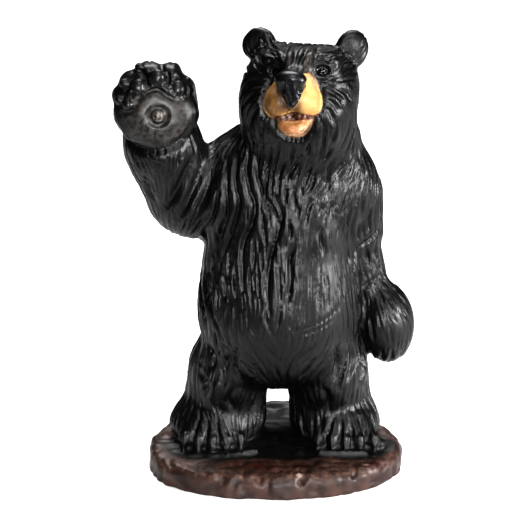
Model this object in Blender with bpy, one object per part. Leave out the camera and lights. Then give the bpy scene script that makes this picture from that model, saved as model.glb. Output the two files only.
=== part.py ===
"""A waving bear, cast in one with the low mound of earth that it stands on.

The form is built up the way a modeller builds it in clay: egg shapes and tapered limbs are
pressed together, hollows are pushed in, beads are set into them, and locks of fur are combed
along the body. Tables of shapes are in millimetres, and the finished mesh is in metres with
+Z up. The bear faces -Y and stands at X = Y = 0, with the mound's underside at Z = 0.
"""

import math

import bmesh
import bpy
import numpy as np
from mathutils import Euler, Matrix, Vector

MM = 0.001

# Driving dimensions, in millimetres.
BASE_HALF_WIDTH = 35.2
BASE_HALF_FRONT = 24.8
BASE_HALF_REAR = 29.6
BASE_MIDDLE_Y = -5.0
BASE_HEIGHT = 6.0
BASE_EDGE_ROUND = 2.4
HEAD_CENTRE = Vector((7.6, -2.0, 107.0))
HEAD_PITCH = math.radians(18.0)
HEAD_YAW = math.radians(10.0)
PAW_CENTRE = Vector((-31.8, -3.4, 104.0))
PAW_PITCH = math.radians(8.0)
LOCK_WIDTH = 2.0
LOCK_DEPTH = 1.1
LOCK_LENGTH = 26.0
# The tightest bend of a combed line, in radians per millimetre.
MOST_BEND = 0.12
# The hair's height over the clay runs from the gap's bottom up to the lock's crown.
LOCK_CROWN = 0.7
LOCK_MIDDLE = 0.8
# Pads of the raised paw's toes and of its palm, in the paw's frame: x, z and radius.
PAD_BEADS = ((-4.7, 7.0, 1.5), (0.5, 8.4, 1.9), (6.0, 6.2, 1.75), (-7.7, 2.4, 1.35))
PALM_BEAD = (0.4, -0.7, 1.8)
# Each foot's middle and the side that it turns to.
FEET = ((-17.4, -1.0), (20.6, 1.0))
TOES = 5
TOE_PITCH = 3.7
# Ears in the head's frame: middle, radii and turn. Eyes: x, z and radius.
EAR_LEFT = ((-13.1, 2.4, 12.7), (4.6, 2.4, 4.6), (0, -10, -12))
EAR_RIGHT = ((12.4, 2.4, 12.5), (4.3, 2.6, 5.4), (0, 14, 22))
EYES = ((-6.4, 5.3, 1.3), (5.9, 5.8, 1.4))
# Nicks in the mound's front edge: x, z and depth.
MOUND_NICKS = ((22.0, 5.2, 1.4), (7.0, 5.0, 1.6), (-4.0, 5.4, 1.0), (-14.0, 4.6, 0.9), (30.0, 5.0, 0.8))
SHARP_ANGLE = math.radians(50.0)

# Mesh fineness: voxel sizes and settling rounds of each pass, and the count of triangles.
PASSES = ((1.5, 4), (0.6, 2), (0.6, 1))
TRIANGLES = 10000
# How strongly the face and the raised paw keep their finer mesh.
FINE_SHARE = 0.6
FINE_FACTOR = 8.0

# A distance beyond every part of the form.
FAR = 1e3


class Egg:
    """An ellipsoid of clay, pressed on with a fillet of the size blend."""

    def __init__(self, at, radii, turn=(0, 0, 0), blend=2.0, frame=None):
        frame = frame or Matrix.Identity(4)
        local = Euler([math.radians(a) for a in turn]).to_matrix()
        self.centre = frame @ Vector(at)
        self.axes = frame.to_3x3() @ local
        self.radii = Vector(radii)
        self.blend = blend

    def reach(self):
        """Lowest and highest corner of a box that holds the egg."""
        spread = [[self.axes[row][k] * self.radii[k] for k in range(3)] for row in range(3)]
        half = Vector([math.hypot(*row) for row in spread])
        return self.centre - half, self.centre + half

    def distance(self, points):
        local = (points - np.array(self.centre)) @ np.array(self.axes)
        radii = np.array(self.radii)
        near = np.linalg.norm(local / radii, axis=1)
        slope = np.linalg.norm(local / radii**2, axis=1)
        return near * (near - 1.0) / np.maximum(slope, 1e-9)

    def add_to(self, shape):
        placed = (
            Matrix.Translation(self.centre)
            @ self.axes.to_4x4()
            @ Matrix.Diagonal((*self.radii, 1.0))
        )
        bmesh.ops.create_icosphere(shape, subdivisions=3, radius=1.0, matrix=placed)


class Limb:
    """A tapered round bar with round ends."""

    def __init__(self, start, end, radius_start, radius_end, blend=2.0, frame=None):
        frame = frame or Matrix.Identity(4)
        self.start = frame @ Vector(start)
        self.end = frame @ Vector(end)
        self.radius_start = radius_start
        self.radius_end = radius_end
        self.blend = blend

    def reach(self):
        widest = Vector((1, 1, 1)) * max(self.radius_start, self.radius_end)
        low = Vector(map(min, self.start, self.end)) - widest
        high = Vector(map(max, self.start, self.end)) + widest
        return low, high

    def distance(self, points):
        start = np.array(self.start)
        run = np.array(self.end) - start
        share = np.clip((points - start) @ run / (run @ run), 0, 1)
        gap = points - start - share[:, None] * run
        radius = self.radius_start + share * (self.radius_end - self.radius_start)
        return np.linalg.norm(gap, axis=1) - radius

    def add_to(self, shape):
        run = self.end - self.start
        for centre, radius in ((self.start, self.radius_start), (self.end, self.radius_end)):
            bmesh.ops.create_icosphere(
                shape, subdivisions=3, radius=radius, matrix=Matrix.Translation(centre)
            )
        turned = run.to_track_quat("Z", "Y").to_matrix().to_4x4()
        bmesh.ops.create_cone(
            shape,
            cap_ends=True,
            segments=24,
            radius1=self.radius_start,
            radius2=self.radius_end,
            depth=run.length,
            matrix=Matrix.Translation((self.start + self.end) / 2) @ turned,
        )


class Ring:
    """A round bar bent into a ring about the axis of the given direction."""

    def __init__(self, at, axis, radius, bar, blend=1.0, frame=None):
        frame = frame or Matrix.Identity(4)
        self.centre = frame @ Vector(at)
        self.axis = (frame.to_3x3() @ Vector(axis)).normalized()
        self.radius = radius
        self.bar = bar
        self.blend = blend

    def reach(self):
        half = Vector((1, 1, 1)) * (self.radius + self.bar)
        return self.centre - half, self.centre + half

    def distance(self, points):
        local = points - np.array(self.centre)
        along = local @ np.array(self.axis)
        across = np.sqrt(np.maximum((local**2).sum(axis=1) - along**2, 0))
        return np.hypot(across - self.radius, along) - self.bar


def base_outline(angle):
    """How far the mound's edge lies from its middle, in the direction of angle."""
    c, s = np.cos(angle), np.sin(angle)
    front = s < 0
    half_depth = np.where(front, BASE_HALF_FRONT, BASE_HALF_REAR)
    power = np.where(front, 2.3, 2.0)
    radius = (np.abs(c / BASE_HALF_WIDTH) ** power + np.abs(s / half_depth) ** power) ** (-1 / power)
    return radius * (1 + 0.008 * np.sin(3 * angle + 0.4) + 0.005 * np.sin(7 * angle + 1.0))


class Mound:
    """The low mound of earth: an oval slab with a rounded edge and a slightly domed top."""

    blend = 1.2
    depth_below = 3.0
    dome = 0.9

    def reach(self):
        wide = 1.05
        across = BASE_HALF_WIDTH * wide
        front = BASE_MIDDLE_Y - BASE_HALF_FRONT * wide
        rear = BASE_MIDDLE_Y + BASE_HALF_REAR * wide
        return Vector((-across, front, -self.depth_below)), Vector((across, rear, BASE_HEIGHT + 2))

    def distance(self, points):
        x, y = points[:, 0], points[:, 1] - BASE_MIDDLE_Y
        across = np.hypot(x, y)
        edge = base_outline(np.arctan2(y, x))
        top = BASE_HEIGHT + self.dome * np.clip(1 - (across / edge) ** 2, 0, 1)
        out = across - edge + BASE_EDGE_ROUND
        up = points[:, 2] - top + BASE_EDGE_ROUND
        down = -self.depth_below - points[:, 2]
        corner = np.hypot(np.maximum(out, 0), np.maximum(up, 0))
        rounded = corner + np.minimum(np.maximum(out, up), 0) - BASE_EDGE_ROUND
        return np.maximum(rounded, down)

    def ring_of(self, shape, z, inset):
        steps = 72
        ring = []
        for k in range(steps):
            angle = 2 * math.pi * k / steps
            r = float(base_outline(np.array(angle))) - inset
            at = (r * math.cos(angle), r * math.sin(angle) + BASE_MIDDLE_Y, z)
            ring.append(shape.verts.new(at))
        return ring

    def add_to(self, shape):
        levels = ((-self.depth_below, 0.0), (BASE_HEIGHT - 2, 0.0), (BASE_HEIGHT, 2.0))
        rings = [self.ring_of(shape, z, inset) for z, inset in levels]
        for low, high in zip(rings, rings[1:]):
            for k in range(len(low)):
                n = (k + 1) % len(low)
                shape.faces.new((low[k], low[n], high[n], high[k]))
        shape.faces.new(rings[0][::-1])
        shape.faces.new(rings[-1])


def head_frame():
    """Places the head's own axes: x to the viewer's right, -y out of the face, z up."""
    turned = Euler((-HEAD_PITCH, 0, 0)).to_matrix()
    turned = Euler((0, 0, -HEAD_YAW)).to_matrix() @ turned
    return Matrix.Translation(HEAD_CENTRE) @ turned.to_4x4()


def paw_frame():
    """Places the raised paw's own axes, with the palm towards -y."""
    return Matrix.Translation(PAW_CENTRE) @ Euler((-PAW_PITCH, 0, 0)).to_matrix().to_4x4()


def torso():
    return [
        Egg((1.6, 1.5, 44), (22.8, 19.5, 19), blend=8),
        Egg((2.4, 3.0, 60), (21.5, 17.5, 20), blend=8),
        Egg((4.5, 4.0, 76), (20.0, 15.5, 15), blend=8),
        Egg((2.0, 3.0, 32.5), (20.5, 17.0, 11), blend=6),
        Egg((4.2, 4.5, 87.5), (16.4, 13.5, 11), blend=8),
        Egg((12.4, 3.0, 92.0), (10.6, 10.0, 8.5), blend=5),
        Egg((1.5, 8.5, 37), (17.5, 13.5, 15), blend=6),
        Egg((2.0, 8.5, 84), (14.0, 11.5, 12), blend=6),
        Egg((1.5, 20.5, 31), (4.4, 5.5, 4.4), (-25, 0, 0), blend=3),
    ]


def raised_arm():
    return [
        Egg((-10.0, 5.0, 80), (11.5, 11.5, 12.0), blend=7),
        Limb((-12, 5, 77), (-21.5, 4.5, 75.2), 12.6, 10.9, blend=4),
        Limb((-25.0, 4.0, 77.4), (-30.2, 0.5, 91), 10.5, 9.9, blend=4),
        Limb((-30.3, 0.5, 91), (-32.0, 0.8, 100), 10.0, 9.6, blend=3),
    ]


def raised_paw():
    at = paw_frame()
    fingers = ((-9.2, 2.8, 2.7), (-6.9, 6.4, 2.9), (-2.1, 8.4, 3.6), (3.9, 8.8, 2.8), (7.4, 4.9, 2.8))
    made = [
        Egg((-0.1, 1.4, -0.1), (11.2, 6.0, 10.8), blend=2.0, frame=at),
        Egg((-0.1, -1.8, -1.6), (11.4, 5.2, 9.2), blend=0.9, frame=at),
        Egg((-0.6, -1.2, 4.6), (9.4, 4.6, 6.4), blend=1.0, frame=at),
    ]
    made += [Egg((x, 0.4, z), (r, 5.0, r), blend=0.5, frame=at) for x, z, r in fingers]
    return made


def paw_hollows():
    """Sockets for the toe pads, and the ring pressed into the palm."""
    at = paw_frame()
    x, z, r = PALM_BEAD
    made = [Ring((x, surface_y(at, x, z), z), (0, 1, 0.1), r + 0.85, 0.9, blend=0.3, frame=at)]
    for x, z, r in PAD_BEADS:
        socket = (r + 1.0, 1.9, r + 1.0)
        made.append(Egg((x, surface_y(at, x, z), z), socket, blend=0.5, frame=at))
    return made


def paw_beads():
    at = paw_frame()
    return [
        Egg((x, surface_y(at, x, z) + 0.7, z), (r, 1.6, r), blend=0.25, frame=at)
        for x, z, r in (*PAD_BEADS, PALM_BEAD)
    ]


def hanging_arm():
    return [
        Egg((19.2, 4.5, 79), (9.4, 10.5, 11.4), blend=5),
        Limb((21.4, 6.0, 76), (22.6, 5.5, 65.5), 8.3, 7.3, blend=2),
        Limb((22.0, 6.5, 63), (25.0, 4.5, 50), 6.8, 6.4, blend=1.2),
        Egg((31.0, 2.5, 39.5), (7.8, 8.6, 11.6), (0, -6, 0), blend=2.5),
    ]


def legs():
    return [
        Egg((-13.2, 2.5, 26), (9.4, 13.0, 12), blend=3),
        Limb((-13.2, 3.5, 24), (-14.2, 3.5, 12), 10.8, 11.7, blend=3),
        Egg((-17.2, 1.0, 10.0), (11.9, 12.2, 7.6), blend=2),
        Egg((15.2, 2.5, 26), (10.2, 13.0, 12), blend=3),
        Limb((14.9, 3.5, 24), (16.0, 3.5, 12), 10.6, 11.7, blend=3),
        Egg((18.4, 1.0, 10.0), (11.0, 12.2, 7.6), blend=2),
    ]


def toes():
    """Five toes to a foot, each with a short claw under it, above a thin ledge."""
    made = []
    for middle, side in FEET:
        for k in range(TOES):
            off = k - (TOES - 1) / 2
            x = middle + off * TOE_PITCH
            y = -9.6 + 0.55 * abs(off) ** 1.8
            made.append(Egg((x, y, 10.4), (2.1, 4.8, 5.2), (24, off * 5, 0), blend=1.4))
            made.append(Egg((x + 0.1 * side, y - 2.6, 7.8), (0.95, 1.7, 1.9), (30, 0, 0), blend=0.4))
    made.append(Limb((-19.5, -16.5, 6.7), (-7.0, -13.4, 7.0), 0.7, 0.8, blend=0.8))
    made.append(Limb((12.6, -14.4, 6.9), (25.0, -13.8, 6.7), 0.8, 0.7, blend=0.8))
    made.append(Egg((28.4, -8.5, 7.2), (2.6, 2.2, 1.6), blend=1.0))
    made.append(Limb((-4.5, 21.4, 5.6), (7.0, 21.6, 5.4), 1.8, 2.0, blend=1.5))
    return made


def head():
    at = head_frame()
    return [
        Egg((-0.6, 3.0, 2.2), (14.0, 12.6, 11.3), blend=4, frame=at),
        Egg((-8.0, 2.0, 5.0), (7.2, 9.0, 8.4), blend=3, frame=at),
        Egg((7.0, 2.0, 5.0), (7.2, 9.0, 8.0), blend=3, frame=at),
        Egg((-8.8, -0.3, -2.6), (8.3, 10.3, 10.2), blend=4, frame=at),
        Egg((6.3, -0.3, -2.4), (8.3, 10.3, 10.4), blend=4, frame=at),
        Egg((-0.9, 3.5, -9.5), (13.8, 12.0, 9.0), blend=6, frame=at),
        Egg((0, -5.2, 6.2), (9.4, 6.0, 5.4), blend=3.5, frame=at),
        Limb((-3.4, -9.4, 8.4), (-8.6, -7.4, 8.2), 1.2, 1.5, blend=3, frame=at),
        Limb((3.2, -9.4, 8.6), (8.6, -7.4, 8.6), 1.2, 1.5, blend=3, frame=at),
    ]


def muzzle():
    """The nose bridge, the two hanging lips, the nose leather and the lower jaw."""
    at = head_frame()
    return [
        Limb((-0.4, -8.0, 3.6), (-0.9, -17.4, 1.8), 4.6, 3.6, blend=2.5, frame=at),
        Egg((-4.4, -13.0, -1.6), (3.9, 6.4, 4.9), (0, -14, 6), blend=1.6, frame=at),
        Egg((2.6, -13.0, -1.4), (3.9, 6.4, 4.8), (0, 14, -6), blend=1.6, frame=at),
        Egg((-0.9, -18.8, 2.9), (4.3, 3.4, 2.9), (-10, 0, 0), blend=0.8, frame=at),
        Limb((-0.9, -19.2, 0.8), (-0.7, -18.2, -3.4), 2.6, 1.2, blend=0.7, frame=at),
        Egg((-0.2, -10.6, -8.2), (4.4, 6.0, 3.8), (-14, 0, 0), blend=1.0, frame=at),
    ]


def ears():
    at = head_frame()
    return [Egg(middle, radii, turn, blend=1.2, frame=at) for middle, radii, turn in (EAR_LEFT, EAR_RIGHT)]


def ear_cups():
    at = head_frame()
    made = []
    for (x, _, z), (wide, _, high), turn in (EAR_LEFT, EAR_RIGHT):
        y = surface_y(at, x, z)
        made.append(Egg((x, y - 0.2, z - 0.2), (wide * 0.7, 1.5, high * 0.7), turn, blend=0.7, frame=at))
    return made


def face_hollows():
    at = head_frame()
    made = [
        Limb((-3.4, -14.6, -6.3), (2.9, -14.6, -6.3), 0.9, 0.9, blend=0.8, frame=at),
        Egg((-0.6, -18.4, -4.6), (0.4, 3.0, 1.8), blend=0.4, frame=at),
    ]
    for x, z, r in EYES:
        socket = (r + 0.9, 1.2, r + 0.7)
        made.append(Egg((x, surface_y(at, x, z) + 0.1, z), socket, blend=1.0, frame=at))
    for x in (-3.1, 1.5):
        made.append(Egg((x, surface_y(at, x, 1.6), 1.6), (0.8, 0.8, 1.0), blend=0.4, frame=at))
    return made


def face_beads():
    """The eyes, and the two upper side teeth."""
    at = head_frame()
    made = [
        Egg((x, surface_y(at, x, z) + r * 0.75, z), (r, r, r), blend=0.2, frame=at) for x, z, r in EYES
    ]
    for x in (-2.5, 2.0):
        made.append(Egg((x, -14.2, -6.2), (0.6, 0.6, 0.9), blend=0.3, frame=at))
    return made


def passage():
    """The see-through gap between the legs, along the line from the chest to the heels."""
    return [Limb((0.9, -16.0, 20.4), (0.9, 15.0, 11.4), 2.7, 2.7, blend=1.0)]


def pressed(total, shape, points, sign):
    """Adds one shape to the form's distances, or pushes it in where sign is -1."""
    low, high = shape.reach()
    room = shape.blend + 3.0
    inside = (points > np.array(low) - room) & (points < np.array(high) + room)
    near = np.flatnonzero(inside.all(axis=1))
    if len(near):
        here = sign * total[near]
        there = shape.distance(points[near])
        mixed = np.maximum(shape.blend - np.abs(here - there), 0)
        total[near] = sign * (np.minimum(here, there) - mixed**2 / (4 * shape.blend))


def surface_y(frame, x, z):
    """Where the lumps' surface lies in front of (x, z), in the frame's own y."""
    y = np.arange(-30.0, 8.0, 0.05)
    local = np.stack([np.full_like(y, x), y, np.full_like(y, z)], axis=1)
    matrix = np.array(frame)
    points = local @ matrix[:3, :3].T + matrix[:3, 3]
    total = np.full(len(points), FAR)
    for shape in LUMPS:
        pressed(total, shape, points, 1)
    return float(y[np.argmax(total < 0)])


LUMPS = torso() + raised_arm() + raised_paw() + hanging_arm() + legs() + toes()
LUMPS += head() + muzzle() + ears() + [Mound()]
HOLLOWS = face_hollows() + ear_cups() + paw_hollows() + passage()
BEADS = face_beads() + paw_beads()


def field(points):
    """About how far each point lies outside the modelled form: below zero inside it."""
    total = np.full(len(points), FAR)
    for sign, shapes in ((1, LUMPS), (-1, HOLLOWS), (1, BEADS)):
        for shape in shapes:
            pressed(total, shape, points, sign)
    return total


def slope(points):
    """The outward direction at each point, from the field's own slope."""
    step = 0.05
    corners = np.array([(1, -1, -1), (-1, -1, 1), (-1, 1, -1), (1, 1, 1)], float)
    total = sum(c * field(points + step * c)[:, None] for c in corners)
    return total / np.maximum(np.linalg.norm(total, axis=1, keepdims=True), 1e-9)


def settle(points, rounds):
    """Moves points onto the form's surface."""
    for _ in range(rounds):
        points = points - 0.9 * field(points)[:, None] * slope(points)
    return points


def points_of(mesh):
    points = np.empty(len(mesh.vertices) * 3, np.float32)
    mesh.vertices.foreach_get("co", points)
    return points.reshape(-1, 3).astype(float)


def set_points(mesh, points):
    mesh.vertices.foreach_set("co", points.astype(np.float32).ravel())
    mesh.update()


def modified(obj, kind, **settings):
    """Applies one modifier with the given settings to the object's mesh."""
    modifier = obj.modifiers.new(kind.lower(), kind)
    for name, value in settings.items():
        setattr(modifier, name, value)
    bpy.context.view_layer.update()
    graph = bpy.context.evaluated_depsgraph_get()
    obj.data = bpy.data.meshes.new_from_object(obj.evaluated_get(graph))
    obj.modifiers.clear()
    bpy.context.view_layer.update()


def rough_form():
    """All the lumps joined in one closed mesh and drawn onto the form's surface."""
    shape = bmesh.new()
    for lump in LUMPS + BEADS:
        lump.add_to(shape)
    mesh = bpy.data.meshes.new("bear_figurine")
    shape.to_mesh(mesh)
    shape.free()
    bear = bpy.data.objects.new("bear_figurine", mesh)
    bpy.context.scene.collection.objects.link(bear)
    for voxel, rounds in PASSES:
        modified(bear, "REMESH", mode="VOXEL", voxel_size=voxel)
        set_points(bear.data, settle(points_of(bear.data), rounds))
    return bear


# Directions in which the fur is combed: a place, and the way the hair runs there.
BODY_FLOW = (
    ((0, -17, 45), (0, 0, -1)),
    ((-12, -14, 76), (0.12, 0, -1)),
    ((-15, -12, 60), (0.06, 0, -1)),
    ((-20, -6, 45), (0.12, 0, -1)),
    ((-13, -13, 33), (0.6, 0.1, -0.85)),
    ((13, -13, 33), (-0.5, 0.1, -0.9)),
    ((18, -8, 45), (-0.06, 0, -1)),
    ((12, -12, 75), (-0.12, 0, -1)),
    ((3, -12, 88), (0.05, -0.1, -1)),
    ((20, -5, 62), (0, 0, -1)),
    ((0, 20, 80), (0, 0.1, -1)),
    ((-15, 14, 60), (0.1, 0, -1)),
    ((15, 14, 60), (-0.1, 0, -1)),
    ((0, 21, 45), (0, 0, -1)),
    ((0, 18, 95), (0, 0.3, -1)),
    ((-15, -10, 24), (-0.1, -0.1, -1)),
    ((-24, 3, 24), (-0.25, 0, -1)),
    ((-15, 15, 20), (0, 0.1, -1)),
    ((15, -10, 24), (0.1, -0.1, -1)),
    ((25, 3, 24), (0.25, 0, -1)),
    ((15, 15, 20), (0, 0.1, -1)),
    ((-17, -10, 13), (0, -0.6, -0.8)),
    ((20, -10, 13), (0, -0.6, -0.8)),
    ((-29, 0, 10), (-0.3, -0.3, -0.9)),
    ((30, 0, 10), (0.3, -0.3, -0.9)),
    ((-16, -6, 84), (-0.25, 0, -1)),
    ((-21, -6, 77), (-0.45, 0, -0.9)),
    ((-28, -6, 72), (-0.45, 0, -0.9)),
    ((-29, -9, 86), (-0.05, 0, -1)),
    ((-40, 1, 88), (0.3, 0, -1)),
    ((-20, 1, 93), (0.05, 0, -1)),
    ((-30, 11, 88), (0, 0, -1)),
    ((-24, 15, 74), (-0.4, 0, -0.9)),
    ((-32, 6, 106), (0, 0.1, -1)),
    ((28, 0, 76), (0.1, 0, -1)),
    ((30, 5, 62), (0.1, 0, -1)),
    ((28, -2, 50), (0.3, 0, -1)),
    ((33, -6, 40), (0.15, 0, -1)),
    ((38, 4, 42), (0.1, 0, -1)),
    ((31, -3, 29), (-0.15, 0.2, -1)),
)
# The same for the head, in the head's own frame; side hairs are mirrored.
HEAD_FLOW = (
    ((0, -9, 9), (0, 0.4, 1)),
    ((0, 2, 13.5), (0, 1, 0)),
    ((0, 15, 2), (0, 0.2, -1)),
    ((0, -7, -14), (0, 0.1, -1)),
)
SIDE_FLOW = (
    ((13, -5, -2), (0.55, 0.6, -0.6)),
    ((15, 0, -7), (0.25, 0.3, -1)),
    ((9, -9, 1), (0.9, 0.4, -0.25)),
    ((11, -6, 7), (0.6, 0.5, 0.5)),
    ((8, -6, -12), (0.2, 0.1, -1)),
    ((14, 8, -2), (0.2, 0.8, -0.8)),
    ((13, 3, 15), (0.3, 0.2, 1)),
)


def flow_guides():
    """All the combing directions in the world frame: places and unit directions."""
    at = head_frame()
    local = list(HEAD_FLOW)
    for (x, y, z), (dx, dy, dz) in SIDE_FLOW:
        local += [((x, y, z), (dx, dy, dz)), ((-x, y, z), (-dx, dy, dz))]
    pairs = [(Vector(place), Vector(way)) for place, way in BODY_FLOW]
    pairs += [(at @ Vector(place), at.to_3x3() @ Vector(way)) for place, way in local]
    places = np.array([place for place, way in pairs])
    ways = np.array([way.normalized() for place, way in pairs])
    return places, ways


def flow(points, normals):
    """The combed direction at each point, laid flat on the surface."""
    places, ways = flow_guides()
    total = np.zeros_like(points)
    for place, way in zip(places, ways):
        gap = ((points - place) ** 2).sum(axis=1) + 9.0
        total += way / (gap * gap)[:, None]
    total -= (total * normals).sum(axis=1, keepdims=True) * normals
    return total / np.maximum(np.linalg.norm(total, axis=1, keepdims=True), 1e-12)


def bend_of(mesh, points, ways):
    """How the combed lines curve at each point, from the directions at its neighbours."""
    ends = np.empty(len(mesh.edges) * 2, np.int32)
    mesh.edges.foreach_get("vertices", ends)
    ends = ends.reshape(-1, 2)
    first, last = np.concatenate([ends, ends[:, ::-1]]).T
    along = ((points[last] - points[first]) * ways[first]).sum(axis=1)
    change = ways[last] - ways[first]
    weight = np.bincount(first, along**2, len(points))
    bend = [np.bincount(first, along * change[:, k], len(points)) for k in range(3)]
    bend = np.stack(bend, axis=1) / np.maximum(weight, 1e-9)[:, None]
    for _ in range(2):
        count = np.bincount(first, minlength=len(points))[:, None]
        near = [np.bincount(first, bend[last, k], len(points)) for k in range(3)]
        bend = (bend + np.stack(near, axis=1) / np.maximum(count, 1)) / 2
    sharp = np.linalg.norm(bend, axis=1, keepdims=True) / MOST_BEND
    return bend / np.maximum(sharp, 1)


def cloud(points, cell, seed):
    """Smooth random values from -1 to 1, that change over about one cell."""
    grid = np.random.default_rng(seed).uniform(-1, 1, (64, 64, 64))
    scaled = points / cell + 32.0
    corner = np.floor(scaled).astype(int)
    part = scaled - corner
    part = part * part * (3 - 2 * part)
    total = np.zeros(len(points))
    for k in range(8):
        step = np.array([(k >> 2) & 1, (k >> 1) & 1, k & 1])
        across, deep, high = ((corner + step) % 64).T
        total += grid[across, deep, high] * np.where(step, part, 1 - part).prod(axis=1)
    return total


def combed(points, ways, bend, cell, length, seed):
    """Random values drawn out along the combed lines, with a spread of one."""
    steps = np.linspace(-1, 1, 17)
    weights = np.cos(steps * math.pi / 2) ** 2
    total = np.zeros(len(points))
    for step, weight in zip(steps, weights):
        s = step * length / 2
        total += weight * cloud(points + s * ways + s * s / 2 * bend, cell, seed)
    return total / total.std()


def bare_shapes():
    """Places without fur: muzzle and jaw, ear cups, eyes, and the palm with its pads."""
    face = head_frame()
    made = [
        Egg((-0.7, -15.5, -1.5), (8.4, 9.5, 9.0), frame=face),
        Egg((-0.3, -14.0, -9.0), (5.2, 6.0, 4.5), frame=face),
        Egg((-0.2, -6.5, 0.5), (11.0, 6.5, 10.8), frame=paw_frame()),
    ]
    for (x, _, z), (wide, _, high), _turn in (EAR_LEFT, EAR_RIGHT):
        made.append(Egg((x, -1.0, z), (wide * 0.8, 3.0, high * 0.8), frame=face))
    for x, z, r in EYES:
        made.append(Egg((x, -12.0, z), (r + 1.0, 3.0, r + 0.8), frame=face))
    return made


def gentle_shapes():
    """Places with shallower locks, each with the share of the full depth."""
    face = head_frame()
    return [
        (Egg((0, -2, 0), (17.0, 14.0, 15.0), frame=face), 0.5),
        (Limb((-29, 0, 80), (-31, 0, 101), 12, 12), 0.5),
        (Limb((-17, -9, 12), (-17, -9, 9), 12, 13), 0.35),
        (Limb((20, -9, 12), (20, -9, 9), 12, 13), 0.35),
        (Egg((33, 2, 38), (9, 10, 11)), 0.7),
        (Egg((12, -14, 62), (12, 8, 24)), 0.7),
    ]


def fur_strength(points):
    """From zero on bare places to one in full fur."""
    strength = np.clip((points[:, 2] - BASE_HEIGHT - 1.5) / 2.0, 0, 1)
    for shape, share in gentle_shapes():
        near = np.clip(shape.distance(points) / 4.0 + 0.5, 0, 1)
        strength = np.minimum(strength, share + (1 - share) * near)
    for shape in bare_shapes():
        strength = np.minimum(strength, np.clip(shape.distance(points) / 1.6, 0, 1))
    return strength


def comb(mesh):
    """Cuts the gaps between the locks into the mesh."""
    points = points_of(mesh)
    normals = slope(points)
    ways = flow(points, normals)
    bend = bend_of(mesh, points, ways)
    locks = combed(points, ways, bend, LOCK_WIDTH, LOCK_LENGTH, 11)
    ridge = np.minimum(np.abs(locks) / LOCK_CROWN, 1) ** 0.8
    depth = LOCK_DEPTH * fur_strength(points) * (ridge - LOCK_MIDDLE)
    set_points(mesh, points + depth[:, None] * normals)


def weather(mesh):
    """Gives the mound its lumpy top and the nicks in its edge."""
    points = points_of(mesh)
    normals = slope(points)
    low = np.clip((BASE_HEIGHT + 2.5 - points[:, 2]) / 1.5, 0, 1)
    for shape in legs():
        low = np.minimum(low, np.clip(shape.distance(points) / 2.0, 0, 1))
    lumps = 0.5 * cloud(points, 6.0, 5) + 0.35 * cloud(points, 2.4, 6)
    for x, z, depth in MOUND_NICKS:
        middle = np.array((x, surface_y(Matrix.Identity(4), x, z), z))
        gap = (points - middle) / np.array((0.7, 2.0, 2.4))
        lumps -= depth * np.exp(-(gap**2).sum(axis=1))
    set_points(mesh, points + (low * lumps)[:, None] * normals)


def keep_fine(bear):
    """Marks the face and the raised paw, which keep a finer mesh than the rest."""
    points = points_of(bear.data)
    group = bear.vertex_groups.new(name="fine")
    fine = np.full(len(points), False)
    for shape in bare_shapes():
        fine |= shape.distance(points) < 1.0
    group.add([int(k) for k in np.flatnonzero(fine)], FINE_SHARE, "REPLACE")


def bodies(shape):
    """The separate bodies of a bmesh, as sets of its vertices."""
    left = set(shape.verts)
    found = []
    while left:
        start = left.pop()
        body, edge = {start}, [start]
        while edge:
            here = edge.pop()
            for link in here.link_edges:
                other = link.other_vert(here)
                if other in left:
                    left.discard(other)
                    body.add(other)
                    edge.append(other)
        found.append(body)
    return found


def finish(mesh):
    """Cuts the underside flat at Z = 0 and keeps the one main body."""
    shape = bmesh.new()
    shape.from_mesh(mesh)
    bmesh.ops.bisect_plane(
        shape,
        geom=shape.verts[:] + shape.edges[:] + shape.faces[:],
        plane_co=(0, 0, 0),
        plane_no=(0, 0, -1),
        clear_outer=True,
    )
    rim = [edge for edge in shape.edges if edge.is_boundary]
    for edge in rim:
        for vert in edge.verts:
            vert.co.z = 0.0
    bmesh.ops.contextual_create(shape, geom=rim)
    largest = max(bodies(shape), key=len)
    bmesh.ops.delete(shape, geom=[v for v in shape.verts if v not in largest], context="VERTS")
    bmesh.ops.dissolve_degenerate(shape, dist=0.01, edges=shape.edges[:])
    bmesh.ops.triangulate(shape, faces=shape.faces[:])
    bmesh.ops.recalc_face_normals(shape, faces=shape.faces[:])
    shape.to_mesh(mesh)
    shape.free()


def painted_resin():
    """Cast resin with a coat of satin black paint."""
    material = bpy.data.materials.new("painted_resin")
    material.use_nodes = True
    surface = material.node_tree.nodes["Principled BSDF"]
    surface.inputs["Base Color"].default_value = (0.012, 0.012, 0.013, 1.0)
    surface.inputs["Roughness"].default_value = 0.38
    surface.inputs["Metallic"].default_value = 0.0
    return material


def main():
    for old in list(bpy.data.objects):
        bpy.data.objects.remove(old)
    bear = rough_form()
    comb(bear.data)
    weather(bear.data)
    keep_fine(bear)
    modified(
        bear,
        "DECIMATE",
        ratio=TRIANGLES / (2 * len(bear.data.polygons)),
        vertex_group="fine",
        invert_vertex_group=True,
        vertex_group_factor=FINE_FACTOR,
    )
    bear.vertex_groups.clear()
    finish(bear.data)
    bear.data.transform(Matrix.Scale(MM, 4))
    bear.data.set_sharp_from_angle(angle=SHARP_ANGLE)
    bear.data.materials.append(painted_resin())
    return bear


if __name__ == "__main__":
    main()
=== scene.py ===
"""Dresses the waving bear: its combed coat, its face and paws, and its hand-painted finish.

The casting is modelled the way a modeller builds it in clay. Egg shapes and tapered limbs are
pressed together, hollows are pushed in, beads are set on, and the coat is combed. Places, sizes
and distances of the clay are in millimetres. The finished mesh is in metres, with +Z up, and the
bear faces -Y.
"""

import logging
import math
from collections.abc import Callable, Iterable
from dataclasses import dataclass, field, replace
from enum import Enum, StrEnum, auto
from functools import partial

import bmesh
import bpy
import numpy as np
from mathutils import Euler, Matrix, Vector


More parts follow.
